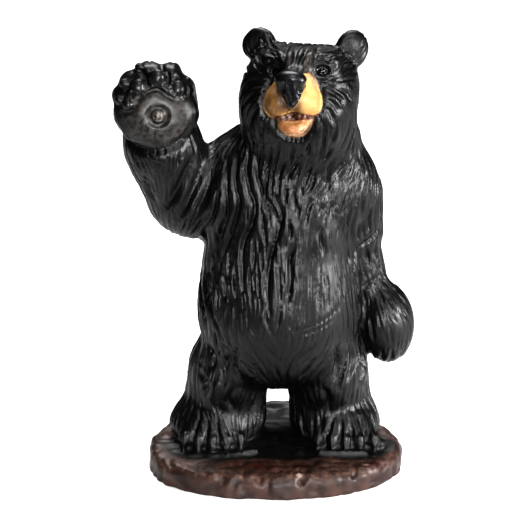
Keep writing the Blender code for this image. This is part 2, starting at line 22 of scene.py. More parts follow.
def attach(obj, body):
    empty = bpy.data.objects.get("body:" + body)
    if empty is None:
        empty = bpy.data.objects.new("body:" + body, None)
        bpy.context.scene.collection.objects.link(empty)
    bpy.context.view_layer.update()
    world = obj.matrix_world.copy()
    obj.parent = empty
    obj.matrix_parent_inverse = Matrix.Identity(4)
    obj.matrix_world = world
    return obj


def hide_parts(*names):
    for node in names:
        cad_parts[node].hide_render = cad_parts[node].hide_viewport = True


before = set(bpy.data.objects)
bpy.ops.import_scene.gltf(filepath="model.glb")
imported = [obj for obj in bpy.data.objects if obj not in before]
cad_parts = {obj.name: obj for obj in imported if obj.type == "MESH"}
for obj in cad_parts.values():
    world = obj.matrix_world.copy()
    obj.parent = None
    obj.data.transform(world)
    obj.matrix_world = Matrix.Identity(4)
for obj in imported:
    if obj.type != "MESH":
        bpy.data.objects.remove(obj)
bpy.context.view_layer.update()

Tree = bpy.types.NodeTree
Node = bpy.types.Node
Socket = bpy.types.NodeSocket
Mesh = bpy.types.Mesh
Thing = bpy.types.Object
Box = tuple[Vector, Vector]
Triple = tuple[float, float, float]
# A path is drawn as x and z, and a groove has half its width and its depth.
Path = tuple[tuple[float, float], ...]
Groove = tuple[float, float]

MM = 0.001
FAR = 1e3
TINY = 1e-9
HOME = Matrix.Identity(4)


class Mask(StrEnum):
    """Painted and relieved areas, each stored on the mesh as one number per point."""

    COAT = auto()
    LOCKS = auto()
    EARTH_LUMPS = auto()
    # Dry-brushed grey on the palm, which is partly a painted sheen.
    PALM = auto()
    PADS = auto()
    PALM_BEAD = auto()
    # Grey-brown rub on the brow, which is partly a painted highlight.
    BROW_RUB = auto()
    MUZZLE = auto()
    # Darker amber on the left lobe: its paint, and painted shade on the side away from the light.
    MUZZLE_AMBER = auto()
    MUZZLE_SHADE = auto()
    JAW = auto()
    # Pale rims of the lips and lobes, which are partly painted highlights.
    LIP_RIM = auto()
    # The mouth's dark paint, and painted shade under the lips and along the jaw's crease.
    MOUTH = auto()
    TEETH = auto()
    # Black nose leather, and painted shade in the ring groove round the palm's bead.
    DARK_SKIN = auto()
    EYES = auto()
    EARTH = auto()
    RED_EARTH = auto()
    # A paler band along the mound's front rim: wear, and a painted highlight where the rim catches the light.
    WORN_EDGE = auto()
    CHIPS = auto()
    SPILL = auto()


class Drawn(Enum):
    """The kinds of drawn line, by the name of their input in the combing tree."""

    TOOL_LINES = "Tool lines"
    LOCKS = "Locks"
    STRANDS = "Strands"


@dataclass(frozen=True)
class Form:
    """A simple form in the axes of home, pressed on with a fillet of the size blend."""

    blend: float = field(default=2.0, kw_only=True)
    home: Matrix = field(default=HOME, compare=False, kw_only=True)

    def placed(self, at: Triple) -> Vector:
        """One of the form's places, in the figure's frame."""
        return self.home @ Vector(at)


@dataclass(frozen=True)
class Egg(Form):
    """An ellipsoid of clay."""

    at: Triple
    radii: Triple
    turn: Triple = (0.0, 0.0, 0.0)

    def axes(self) -> Matrix:
        """The egg's own axes in the figure's frame."""
        return self.home.to_3x3() @ Euler([math.radians(a) for a in self.turn]).to_matrix()

    def reach(self) -> Box:
        """Finds the box that holds the egg.

        Returns:
            The box's lowest and highest corner.
        """
        axes = self.axes()
        half = Vector([math.hypot(*(axes[row][k] * self.radii[k] for k in range(3))) for row in range(3)])
        return self.placed(self.at) - half, self.placed(self.at) + half

    def distance(self, points: np.ndarray) -> np.ndarray:
        """Finds about how far each point lies outside the egg.

        Args:
            points: Places, one a row.

        Returns:
            Distances, below zero inside.
        """
        local = (points - np.array(self.placed(self.at))) @ np.array(self.axes())
        radii = np.array(self.radii)
        near = np.linalg.norm(local / radii, axis=1)
        slope = np.linalg.norm(local / radii**2, axis=1)
        return near * (near - 1.0) / np.maximum(slope, TINY)

    def add_to(self, shape: bmesh.types.BMesh) -> None:
        """Adds the egg's own closed mesh.

        Args:
            shape: The rough shape that gets it.
        """
        placed = Matrix.Translation(self.placed(self.at)) @ self.axes().to_4x4()
        placed = placed @ Matrix.Diagonal((*self.radii, 1.0))
        bmesh.ops.create_icosphere(shape, subdivisions=3, radius=1.0, matrix=placed)


@dataclass(frozen=True)
class Limb(Form):
    """A tapered round bar of clay with round ends."""

    start: Triple
    end: Triple
    radius_start: float
    radius_end: float

    def ends(self) -> Box:
        """Both ends in the figure's frame."""
        return self.placed(self.start), self.placed(self.end)

    def reach(self) -> Box:
        """Finds the box that holds the limb.

        Returns:
            The box's lowest and highest corner.
        """
        start, end = self.ends()
        widest = Vector((1, 1, 1)) * max(self.radius_start, self.radius_end)
        return Vector(map(min, start, end)) - widest, Vector(map(max, start, end)) + widest

    def distance(self, points: np.ndarray) -> np.ndarray:
        """Finds about how far each point lies outside the limb.

        Args:
            points: Places, one a row.

        Returns:
            Distances, below zero inside.
        """
        start, end = (np.array(place) for place in self.ends())
        run = end - start
        share = np.clip((points - start) @ run / max(run @ run, TINY), 0, 1)
        gap = points - start - share[:, None] * run
        radius = self.radius_start + share * (self.radius_end - self.radius_start)
        return np.linalg.norm(gap, axis=1) - radius

    def add_to(self, shape: bmesh.types.BMesh) -> None:
        """Adds the limb's own closed mesh: a cone and a ball at each end.

        Args:
            shape: The rough shape that gets it.
        """
        start, end = self.ends()
        for at, radius in ((start, self.radius_start), (end, self.radius_end)):
            bmesh.ops.create_icosphere(shape, subdivisions=3, radius=radius, matrix=Matrix.Translation(at))
        turned = (end - start).to_track_quat("Z", "Y").to_matrix().to_4x4()
        bmesh.ops.create_cone(
            shape,
            cap_ends=True,
            segments=24,
            radius1=self.radius_start,
            radius2=self.radius_end,
            depth=(end - start).length,
            matrix=Matrix.Translation((start + end) / 2) @ turned,
        )


@dataclass(frozen=True)
class Ring(Form):
    """A round bar bent into a ring, which only pushes in and is never added on."""

    at: Triple
    axis: Triple
    radius: float
    bar: float

    def reach(self) -> Box:
        """Finds the box that holds the ring.

        Returns:
            The box's lowest and highest corner.
        """
        half = Vector((1, 1, 1)) * (self.radius + self.bar)
        return self.placed(self.at) - half, self.placed(self.at) + half

    def distance(self, points: np.ndarray) -> np.ndarray:
        """Finds how far each point lies outside the ring's bar.

        Args:
            points: Places, one a row.

        Returns:
            Distances, below zero inside.
        """
        local = points - np.array(self.placed(self.at))
        along = local @ np.array((self.home.to_3x3() @ Vector(self.axis)).normalized())
        across = np.sqrt(np.maximum((local**2).sum(axis=1) - along**2, 0))
        return np.hypot(across - self.radius, along) - self.bar


@dataclass(frozen=True)
class Slab(Form):
    """The oval slab of earth, with a rounded edge and a slightly domed top."""

    half_width: float = 35.2
    half_front: float = 24.8
    half_rear: float = 29.6
    middle_y: float = -5.0
    height: float = 6.0
    edge_round: float = 2.4
    depth_below: float = 3.0
    dome: float = 0.9
    fullness: tuple[float, float] = (2.3, 2.0)
    steps: int = 72
    blend: float = field(default=1.2, kw_only=True)

    def outline(self, angle: np.ndarray) -> np.ndarray:
        """Finds how far the edge lies from the middle.

        Args:
            angle: Directions in radians, from +x round to +y.

        Returns:
            Distances in millimetres, with the edge's slow waves.
        """
        c, s = np.cos(angle), np.sin(angle)
        half_depth = np.where(s < 0, self.half_front, self.half_rear)
        power = np.where(s < 0, *self.fullness)
        radius = (np.abs(c / self.half_width) ** power + np.abs(s / half_depth) ** power) ** (-1 / power)
        return radius * (1 + 0.008 * np.sin(3 * angle + 0.4) + 0.005 * np.sin(7 * angle + 1.0))

    def reach(self) -> Box:
        """Finds the box that holds the slab, with room for its waves.

        Returns:
            The box's lowest and highest corner.
        """
        wide = 1.05
        low = (-self.half_width * wide, self.middle_y - self.half_front * wide, -self.depth_below)
        high = (self.half_width * wide, self.middle_y + self.half_rear * wide, self.height + 2)
        return Vector(low), Vector(high)

    def distance(self, points: np.ndarray) -> np.ndarray:
        """Finds about how far each point lies outside the slab.

        Args:
            points: Places, one a row.

        Returns:
            Distances, below zero inside.
        """
        x, y = points[:, 0], points[:, 1] - self.middle_y
        across = np.hypot(x, y)
        edge = self.outline(np.arctan2(y, x))
        top = self.height + self.dome * np.clip(1 - (across / edge) ** 2, 0, 1)
        out = across - edge + self.edge_round
        up = points[:, 2] - top + self.edge_round
        corner = np.hypot(np.maximum(out, 0), np.maximum(up, 0))
        rounded = corner + np.minimum(np.maximum(out, up), 0) - self.edge_round
        return np.maximum(rounded, -self.depth_below - points[:, 2])

    def add_to(self, shape: bmesh.types.BMesh) -> None:
        """Adds the slab's own closed mesh, with a bevelled edge.

        Args:
            shape: The rough shape that gets it.
        """
        bevel = 2.0
        angles = np.linspace(0, 2 * math.pi, self.steps, endpoint=False)
        rings = []
        for z, inset in ((-self.depth_below, 0.0), (self.height - bevel, 0.0), (self.height, bevel)):
            radii = self.outline(angles) - inset
            places = zip(radii * np.cos(angles), radii * np.sin(angles) + self.middle_y)
            rings.append([shape.verts.new((x, y, z)) for x, y in places])
        for low, high in zip(rings, rings[1:]):
            for k in range(self.steps):
                n = (k + 1) % self.steps
                shape.faces.new((low[k], low[n], high[n], high[k]))
        shape.faces.new(rings[0][::-1])
        shape.faces.new(rings[-1])


Lump = Egg | Limb | Slab


def smooth_path(path: Path, closed: bool = False) -> np.ndarray:
    """Runs a smooth curve through a path's points.

    Args:
        path: The points, as x and z.
        closed: Whether the curve comes back to its start.

    Returns:
        The curve's points, one a row.
    """
    steps = 6
    given = np.array(path, float)
    if closed:
        padded = np.vstack([given[-1:], given, given[:2]])
    else:
        padded = np.vstack([2 * given[0] - given[1], given, 2 * given[-1] - given[-2]])
    made = []
    for a, b, c, d in zip(padded, padded[1:], padded[2:], padded[3:]):
        for t in np.arange(steps) / steps:
            bent = (2 * a - 5 * b + 4 * c - d) * t**2 + (3 * (b - c) + d - a) * t**3
            made.append(b + ((c - a) * t + bent) / 2)
    return np.array([*made, padded[-2]])


@dataclass(frozen=True)
class Brushed:
    """A brush stroke, or an outline filled with paint, put on from the front of a frame."""

    path: Path
    home: Matrix = field(default=HOME, compare=False)
    half_width: float = 0.0
    back: float = -7.0

    def distance(self, points: np.ndarray) -> np.ndarray:
        """Finds how far each point lies outside the paint.

        Args:
            points: Places in the figure's frame, one a row.

        Returns:
            Distances, below zero in the paint.
        """
        matrix = np.array(self.home)
        local = (points - matrix[:3, 3]) @ matrix[:3, :3]
        flat = local[:, [0, 2]]
        filled = self.half_width == 0.0
        line = smooth_path(self.path, filled)
        gap = np.full(len(flat), FAR)
        inside = np.zeros(len(flat), bool)
        for start, end in zip(line, line[1:]):
            run = end - start
            part = np.clip((flat - start) @ run / max(run @ run, TINY), 0, 1)
            gap = np.minimum(gap, np.linalg.norm(flat - start - part[:, None] * run, axis=1))
            if start[1] != end[1]:
                crossed = (start[1] > flat[:, 1]) != (end[1] > flat[:, 1])
                inside ^= crossed & (flat[:, 0] < start[0] + (flat[:, 1] - start[1]) * run[0] / run[1])
        outside = np.where(inside, -gap, gap) if filled else gap - self.half_width
        return np.maximum(outside, local[:, 1] - self.back)


Area = Form | Brushed


@dataclass(frozen=True)
class Line:
    """A groove drawn along the surface, with its half width and its depth at each place."""

    places: np.ndarray
    width: float
    depths: np.ndarray

    @classmethod
    def tapered(cls, places: np.ndarray, width: float, depth: float) -> "Line":
        """A groove that is deepest in its middle and runs out at both ends."""
        share = np.linspace(0.04, 0.96, len(places))
        return cls(places, width, depth * np.sin(math.pi * share) ** 0.7)


class Clay:
    """The form: lumps pressed together, hollows pushed in, beads set on and grooves drawn."""

    room = 3.0
    fine_step = 0.05
    plain_step = 0.8
    settling = 0.9
    sight = (-30.0, 8.0, 0.05)

    def __init__(self) -> None:
        """Starts with no clay at all."""
        self.lumps: list[Lump] = []
        self.hollows: list[Egg | Limb | Ring] = []
        self.beads: list[Egg] = []
        self.lines: list[Line] = []

    @staticmethod
    def press(total: np.ndarray, shape: Form, points: np.ndarray, sign: int = 1) -> None:
        """Adds one shape to the form's distances.

        Args:
            total: The distances so far, which are changed where the shape is near.
            shape: The shape.
            points: Places, one a row.
            sign: 1 where the shape is added, and -1 where it is pushed in.
        """
        low, high = shape.reach()
        room = shape.blend + Clay.room
        inside = (points > np.array(low) - room) & (points < np.array(high) + room)
        near = np.flatnonzero(inside.all(axis=1))
        if len(near):
            here = sign * total[near]
            there = shape.distance(points[near])
            mixed = np.maximum(shape.blend - np.abs(here - there), 0)
            total[near] = sign * (np.minimum(here, there) - mixed**2 / (4 * shape.blend))

    def distance(self, points: np.ndarray, plain: bool = False) -> np.ndarray:
        """Finds about how far each point lies outside the form.

        Args:
            points: Places, one a row.
            plain: Whether only the lumps count, without hollows and beads.

        Returns:
            Distances, below zero inside.
        """
        total = np.full(len(points), FAR)
        carved = () if plain else ((-1, self.hollows), (1, self.beads))
        for sign, shapes in ((1, self.lumps), *carved):
            for shape in shapes:
                self.press(total, shape, points, sign)
        return total

    def slope(self, points: np.ndarray, plain: bool = False) -> np.ndarray:
        """Finds the outward direction at each point.

        Args:
            points: Places, one a row.
            plain: Whether only the lumps count, felt over a wider step.

        Returns:
            Unit directions, one a row.
        """
        step = self.plain_step if plain else self.fine_step
        corners = np.array([(1, -1, -1), (-1, -1, 1), (-1, 1, -1), (1, 1, 1)], float)
        total = sum(c * self.distance(points + step * c, plain)[:, None] for c in corners)
        return total / np.maximum(np.linalg.norm(total, axis=1, keepdims=True), TINY)

    def settle(self, points: np.ndarray, rounds: int) -> np.ndarray:
        """Moves points onto the form's surface.

        Args:
            points: Places, one a row.
            rounds: How many steps are taken.

        Returns:
            The moved points.
        """
        for _ in range(rounds):
            points = points - self.settling * self.distance(points)[:, None] * self.slope(points)
        return points

    def fronts(self, home: Matrix, pairs: np.ndarray) -> np.ndarray:
        """Finds where the lumps' surface lies in front of some places.

        Args:
            home: The frame that the places are given in.
            pairs: The places, as x and z.

        Returns:
            The frame's own y at each place.
        """
        y = np.arange(*self.sight)
        local = np.empty((len(pairs), len(y), 3))
        local[:, :, 0] = pairs[:, :1]
        local[:, :, 1] = y
        local[:, :, 2] = pairs[:, 1:]
        points = to_figure(home, local.reshape(-1, 3))
        total = np.full(len(points), FAR)
        for shape in self.lumps:
            self.press(total, shape, points)
        return y[np.argmax(total.reshape(len(pairs), -1) < 0, axis=1)]

    def front(self, home: Matrix, x: float, z: float) -> float:
        """Where the lumps' surface lies in front of (x, z), in the frame's own y."""
        return float(self.fronts(home, np.array([[x, z]]))[0])

    def creases(self, home: Matrix, paths: Iterable[Path], groove: Groove) -> None:
        """Draws grooves along the surface, each deepest in the middle of its path.

        Args:
            home: The frame that the paths are given in.
            paths: The paths' points, as x and z.
            groove: Half the grooves' width and their depth in the middle, in millimetres.
        """
        for path in paths:
            pairs = smooth_path(path)
            local = np.stack([pairs[:, 0], self.fronts(home, pairs), pairs[:, 1]], axis=1)
            self.lines.append(Line.tapered(to_figure(home, local), *groove))

    def egg_on(self, home: Matrix, x: float, z: float, radii: Triple, sunk: float, blend: float) -> Egg:
        """An egg whose middle lies on the surface, sunk by the given depth."""
        return Egg((x, self.front(home, x, z) + sunk, z), radii, blend=blend, home=home)


def to_figure(home: Matrix, local: np.ndarray) -> np.ndarray:
    """Turns places in the axes of home into places in the figure's frame."""
    matrix = np.array(home)
    return local @ matrix[:3, :3].T + matrix[:3, 3]


def put_in(home: Matrix, shapes: Iterable[Lump]) -> list[Lump]:
    """Gives shapes the axes of home."""
    return [replace(shape, home=home) for shape in shapes]


@dataclass
class Torso:
    """The barrel of the body, from the rump to the neck, with its stub of a tail."""

    waist_x: float = 1.6
    belly_front: float = 19.5
    chest_width: float = 20.0
    long_gaps: tuple[Path, ...] = (
        (
            (-7.0, 92.2), (-7.7, 87.8), (-7.0, 82.7), (-5.4, 78.1), (-6.4, 72.7), (-8.4, 67.7), (-8.8, 60.3),
            (-8.4, 55.1),
        ),
        ((-2.0, 86.4), (-2.7, 81.0), (0.0, 76.6), (0.7, 71.9), (0.0, 67.8)),
        ((-10.1, 90.4), (-10.8, 84.4), (-9.7, 78.5), (-11.5, 70.4), (-14.2, 62.9), (-15.6, 55.9)),
        (
            (-12.8, 88.4), (-13.1, 82.3), (-12.8, 75.4), (-15.2, 67.3), (-17.7, 60.1), (-18.8, 51.8),
            (-14.3, 40.4),
        ),
        ((0.0, 80.6), (1.7, 76.0), (0.7, 70.6), (-1.3, 63.7), (-2.0, 55.7), (-1.3, 49.1)),
        ((5.1, 67.2), (4.1, 63.8), (4.4, 58.5), (3.4, 52.5)),
        ((-5.0, 92.0), (-4.7, 86.2), (-3.3, 81.0), (-1.3, 76.5)),
        ((-19.9, 55.9), (-20.2, 50.5), (-19.1, 44.9), (-18.5, 38.0)),
        ((-17.7, 58.8), (-18.1, 52.2), (-16.7, 46.2)),
    )
    short_gaps: tuple[Path, ...] = (
        ((12.5, 71.4), (12.5, 68.6), (13.3, 65.0)), ((9.4, 90.3), (8.1, 86.6), (7.1, 83.3), (7.4, 80.6)),
        ((9.9, 90.0), (9.0, 87.0), (8.0, 84.0)), ((6.7, 91.9), (5.7, 89.6), (4.1, 87.4), (3.7, 85.4)),
        ((18.2, 89.8), (17.2, 87.7), (16.2, 85.7)), ((19.6, 88.0), (17.9, 86.5), (16.9, 85.0)),
        ((16.1, 91.1), (14.8, 88.2), (14.5, 84.6), (14.2, 80.0)), ((10.8, 87.9), (10.1, 84.4), (9.1, 81.9)),
        ((2.0, 90.9), (1.4, 88.0), (0.7, 85.3)), ((5.4, 83.3), (5.1, 80.0), (6.1, 76.6)),
        ((21.8, 74.6), (20.8, 69.5), (22.0, 63.1), (21.6, 57.8)),
    )
    faint_gaps: tuple[Path, ...] = (
        ((-8.1, 51.2), (-6.1, 44.5), (-2.0, 38.7), (2.1, 34.8)), ((-3.3, 51.6), (-1.3, 44.9), (2.1, 38.8)),
        ((3.4, 51.8), (4.1, 44.9), (4.8, 38.8)), ((4.4, 44.2), (9.0, 45.2), (14.0, 47.0), (18.0, 49.6)),
        ((6.0, 43.2), (11.0, 44.0), (16.0, 46.2)),
    )
    long_gap: Groove = (0.55, 0.95)
    short_gap: Groove = (0.45, 0.7)
    faint_gap: Groove = (0.35, 0.2)

    def lumps(self) -> list[Lump]:
        """The lumps of clay that make the torso."""
        return [
            Egg((self.waist_x, 1.5, 44), (22.8, self.belly_front, 19), blend=8),
            Egg((2.4, 3.0, 60), (21.5, 17.5, 20), blend=8),
            Egg((4.5, 4.0, 76), (self.chest_width, 15.5, 15), blend=8),
            Egg((2.0, 3.0, 32.5), (20.5, 17.0, 11), blend=6),
            Egg((4.2, 4.5, 87.5), (16.4, 13.5, 11), blend=8),
            Egg((12.4, 3.0, 92.0), (10.6, 10.0, 8.5), blend=5),
            Egg((1.5, 8.5, 37), (17.5, 13.5, 15), blend=6),
            Egg((2.0, 8.5, 84), (14.0, 11.5, 12), blend=6),
            Egg((1.5, 20.5, 31), (4.4, 5.5, 4.4), (-25, 0, 0), blend=3),
        ]

    def carve(self, clay: Clay) -> None:
        """Draws the gaps in the coat of the chest and belly.

        Args:
            clay: The form.
        """
        clay.creases(HOME, self.long_gaps, self.long_gap)
        clay.creases(HOME, self.short_gaps, self.short_gap)
        clay.creases(HOME, self.faint_gaps, self.faint_gap)


@dataclass
class RaisedArm:
    """The bear's right arm, lifted to the side and bent up."""

    shoulder: Triple = (-10.0, 5.0, 80.0)
    elbow: Triple = (-21.5, 4.5, 75.2)
    bend: Triple = (-30.2, 0.5, 91.0)
    wrist: Triple = (-32.0, 0.8, 100.0)
    fold: Groove = (0.95, 0.9)
    folds: tuple[Path, ...] = (
        ((-19.4, 87.5), (-22.6, 80.0), (-27.0, 71.5)),
        ((-17.0, 85.0), (-19.6, 78.0), (-22.5, 70.5)),
        ((-22.4, 90.0), (-26.0, 82.0), (-30.0, 75.5)),
        ((-33.5, 88.5), (-34.6, 82.0), (-32.6, 77.0)),
    )

    def lumps(self) -> list[Lump]:
        """The lumps of clay that make the arm."""
        return [
            Egg(self.shoulder, (11.5, 11.5, 12.0), blend=7),
            Limb((-12, 5, 77), self.elbow, 12.6, 10.9, blend=4),
            Limb((-25.0, 4.0, 77.4), self.bend, 10.5, 9.9, blend=4),
            Limb(self.bend, self.wrist, 10.0, 9.6, blend=3),
        ]

    def carve(self, clay: Clay) -> None:
        """Draws the folds of the elbow and the upper arm."""
        clay.creases(HOME, self.folds, self.fold)


@dataclass
class RaisedPaw:
    """The open right paw, with its palm to the front. Tables give x, z and a radius."""

    centre: Triple = (-31.8, -3.4, 104.0)
    pitch: float = math.radians(8.0)
    palm_bead: Triple = (0.6, -1.8, 1.55)
    ring_axis: Triple = (0, 1, 0.1)
    ring_gap: float = 0.85
    fingers: tuple[Triple, ...] = (
        (-9.2, 2.8, 2.7), (-6.9, 6.4, 2.9), (-2.1, 8.4, 3.6), (3.9, 8.8, 2.8), (7.4, 4.9, 2.8),
    )
    pads: tuple[Triple, ...] = ((-4.6, 5.6, 2.0), (0.5, 8.1, 2.1), (5.9, 5.0, 2.15), (-7.4, 1.2, 1.5))
    knobs: tuple[Triple, ...] = ((-8.6, 6.6, 1.2), (-9.9, 2.2, 1.1), (-4.3, 10.6, 1.3), (-6.6, 4.6, 0.9))
    crumbs: tuple[Triple, ...] = (
        (8.7, 7.4, 0.7), (9.5, 5.9, 0.6), (7.7, 8.9, 0.6), (9.9, 4.4, 0.5), (6.4, 9.6, 0.5),
    )
    finger_gaps: tuple[Path, ...] = (
        ((1.5, 11.6), (1.9, 9.6), (3.4, 8.6)), ((-4.9, 10.4), (-3.0, 9.0), (-2.2, 6.0)),
        ((-8.4, 4.6), (-6.6, 4.8), (-6.0, 3.6)), ((-9.6, -1.0), (-6.8, -0.8), (-4.8, 1.4)),
        ((3.0, 6.8), (3.4, 8.2), (3.1, 9.8)),
        ((-5.0, 2.6), (-2.6, 4.4), (0.6, 5.3), (3.0, 3.6), (6.0, 2.0)),
    )
    finger_gap: Groove = (0.5, 0.7)
    heel_fold: Path = ((-10.6, -5.0), (-6.6, -10.2), (-0.1, -11.4), (6.0, -9.0), (10.4, -3.4))
    heel: Groove = (0.8, 0.8)

    @property
    def home(self) -> Matrix:
        """Places the paw's own axes, with the palm towards -y."""
        return Matrix.Translation(self.centre) @ Euler((-self.pitch, 0, 0)).to_matrix().to_4x4()

    def lumps(self) -> list[Lump]:
        """Makes the palm, the heel of the hand and the fingers.

        Returns:
            The lumps of clay.
        """
        palm = (
            Egg((-0.1, 1.4, -0.1), (11.2, 6.0, 10.8), blend=2.0),
            Egg((-0.1, -1.8, -1.6), (11.4, 5.2, 9.2), blend=0.9),
            Egg((-0.6, -1.2, 4.6), (9.4, 4.6, 6.4), blend=1.0),
        )
        fingers = (Egg((x, 0.6, z), (r, 4.7, r), blend=1.5) for x, z, r in self.fingers)
        return put_in(self.home, (*palm, *fingers))

    def carve(self, clay: Clay) -> None:
        """Pushes in the sockets and the ring, sets the pads in them, and parts the fingers.

        Args:
            clay: The form.
        """
        home = self.home
        x, z, r = self.palm_bead
        middle = (x, clay.front(home, x, z), z)
        clay.hollows.append(Ring(middle, self.ring_axis, r + self.ring_gap, 0.95, blend=0.3, home=home))
        clay.beads.append(clay.egg_on(home, x, z, (r, 1.4, r * 1.15), 0.9, 0.2))
        for x, z, r in self.pads:
            clay.hollows.append(clay.egg_on(home, x, z, (r + 0.85, 1.9, r + 0.95), 0.3, 0.4))
            clay.beads.append(clay.egg_on(home, x, z, (r, 1.7, r * 1.1), 0.75, 0.15))
        clay.beads += [clay.egg_on(home, x, z, (r, 1.0, r), 0.1, 0.5) for x, z, r in self.knobs]
        clay.beads += [clay.egg_on(home, x, z, (r, r, r), 0.0, 0.4) for x, z, r in self.crumbs]
        clay.creases(home, self.finger_gaps, self.finger_gap)
        clay.creases(home, (self.heel_fold,), self.heel)


@dataclass
class HangingArm:
    """The bear's left arm, which hangs down beside the body."""

    shoulder: Triple = (18.9, 4.5, 79.0)
    paw: Triple = (31.0, 2.5, 39.5)
    folds: tuple[tuple[Path, Groove], ...] = (
        (((28.6, 67.5), (25.6, 64.6), (21.6, 62.6)), (0.6, 0.55)),
        (((28.4, 53.6), (25.4, 52.0), (23.2, 49.4)), (0.6, 0.6)),
        (((24.9, 56.1), (24.2, 50.6), (25.6, 45.0)), (0.6, 0.5)),
        (((26.3, 53.2), (28.4, 50.3), (30.4, 46.9)), (0.5, 0.4)),
    )
    finger_gaps: tuple[float, ...] = (26.6, 29.4, 32.0, 34.6)
    finger_gap: Groove = (0.5, 0.45)

    def lumps(self) -> list[Lump]:
        """The lumps of clay that make the arm and its paw."""
        return [
            Egg(self.shoulder, (9.4, 10.5, 11.4), blend=5),
            Limb((21.4, 6.0, 76), (22.6, 5.5, 65.5), 8.3, 7.3, blend=2),
            Limb((22.0, 6.5, 63), (25.0, 4.5, 50), 6.8, 6.4, blend=1.2),
            Egg(self.paw, (7.8, 8.6, 11.6), (0, -6, 0), blend=2.5),
        ]

    def carve(self, clay: Clay) -> None:
        """Draws the crease of the elbow, the wrist and the fingers of the paw.

        Args:
            clay: The form.
        """
        for path, groove in self.folds:
            clay.creases(HOME, (path,), groove)
        gaps = (((x, 28.8), (x + 0.5, 31.4), (x + 0.3, 34.0)) for x in self.finger_gaps)
        clay.creases(HOME, gaps, self.finger_gap)


@dataclass
class Legs:
    """Both legs, the feet with their toes, and the see-through gap between them."""

    toes: int = 5
    toe_pitch: float = 3.7
    feet: tuple[tuple[float, float], ...] = ((-17.2, -1.0), (19.8, 1.0))
    toe_gap: Groove = (0.45, 0.5)
    fold: Groove = (0.75, 0.9)
    folds: tuple[Path, ...] = (
        ((-14.3, 37.9), (-12.2, 35.3), (-13.7, 30.1)), ((-17.8, 36.0), (-16.4, 33.0), (-17.8, 29.3)),
        ((-10.2, 37.5), (-10.9, 32.3), (-9.5, 27.2)), ((16.5, 38.3), (17.3, 32.3), (16.3, 28.0)),
        ((20.8, 36.3), (21.5, 30.9), (20.1, 26.6)), ((24.1, 32.4), (24.6, 27.8), (23.8, 24.2)),
        ((-20.5, 27.5), (-18.5, 25.0), (-19.5, 21.5)), ((-11.0, 25.0), (-12.5, 21.0), (-11.5, 17.5)),
        ((13.5, 25.0), (14.8, 21.0), (13.8, 17.5)),
    )

    def shanks(self) -> list[Lump]:
        """The legs without their toes."""
        return [
            Egg((-13.2, 2.5, 26), (9.4, 13.0, 12), blend=3),
            Limb((-13.2, 3.5, 24), (-14.2, 3.5, 12), 10.8, 11.7, blend=3),
            Egg((-17.2, 1.0, 10.0), (11.9, 12.2, 7.8), blend=3),
            Egg((15.2, 2.5, 26), (10.2, 13.0, 12), blend=3),
            Limb((14.9, 3.5, 24), (16.0, 3.5, 12), 10.6, 11.7, blend=3),
            Egg((18.4, 1.0, 10.0), (11.0, 12.2, 7.8), blend=3),
        ]

    def lumps(self) -> list[Lump]:
        """Makes the legs, the toes with their claws, and the ledges of earth under them.

        Returns:
            The lumps of clay.
        """
        made = self.shanks()
        for middle, side in self.feet:
            for k in range(self.toes):
                off = k - (self.toes - 1) / 2
                x = middle + off * self.toe_pitch
                y = -10.6 + 0.55 * abs(off) ** 1.8
                made.append(Limb((middle + off * 2.2, y + 3.4, 13.6), (x, y - 0.2, 8.8), 1.3, 1.95))
                claw = (x + 0.35 * off + 0.1 * side, y - 3.0, 6.9)
                made.append(Limb((x + 0.15 * off, y - 1.2, 10.2), claw, 1.0, 0.4, blend=0.6))
        return [
            *made,
            Limb((-18.5, -16.4, 6.9), (-13.0, -16.2, 7.1), 0.6, 0.9, blend=0.6),
            Limb((-13.0, -16.2, 7.1), (-5.5, -13.6, 7.2), 0.9, 0.9, blend=0.6),
            Limb((12.6, -14.6, 7.1), (25.0, -13.8, 6.9), 1.0, 0.8, blend=0.5),
            Egg((28.4, -8.5, 7.2), (2.6, 2.2, 1.6), blend=1.0),
            Limb((-4.5, 21.4, 5.6), (7.0, 21.6, 5.4), 1.8, 2.0, blend=1.5),
        ]

    def carve(self, clay: Clay) -> None:
        """Opens the gap between the legs, parts the toes and draws the legs' folds.

        Args:
            clay: The form.
        """
        clay.hollows.append(Limb((0.9, -16.0, 20.4), (0.9, 15.0, 11.4), 2.7, 2.7, blend=1.0))
        gaps = []
        for middle, _side in self.feet:
            for k in range(self.toes - 1):
                off = k - (self.toes - 2) / 2
                x = middle + off * self.toe_pitch
                top = middle + off * 2.4
                gaps.append(((top, 15.0), ((top + x) / 2, 12.4), (x, 9.6), (x, 7.6)))
        clay.creases(HOME, gaps, self.toe_gap)
        clay.creases(HOME, self.folds, self.fold)


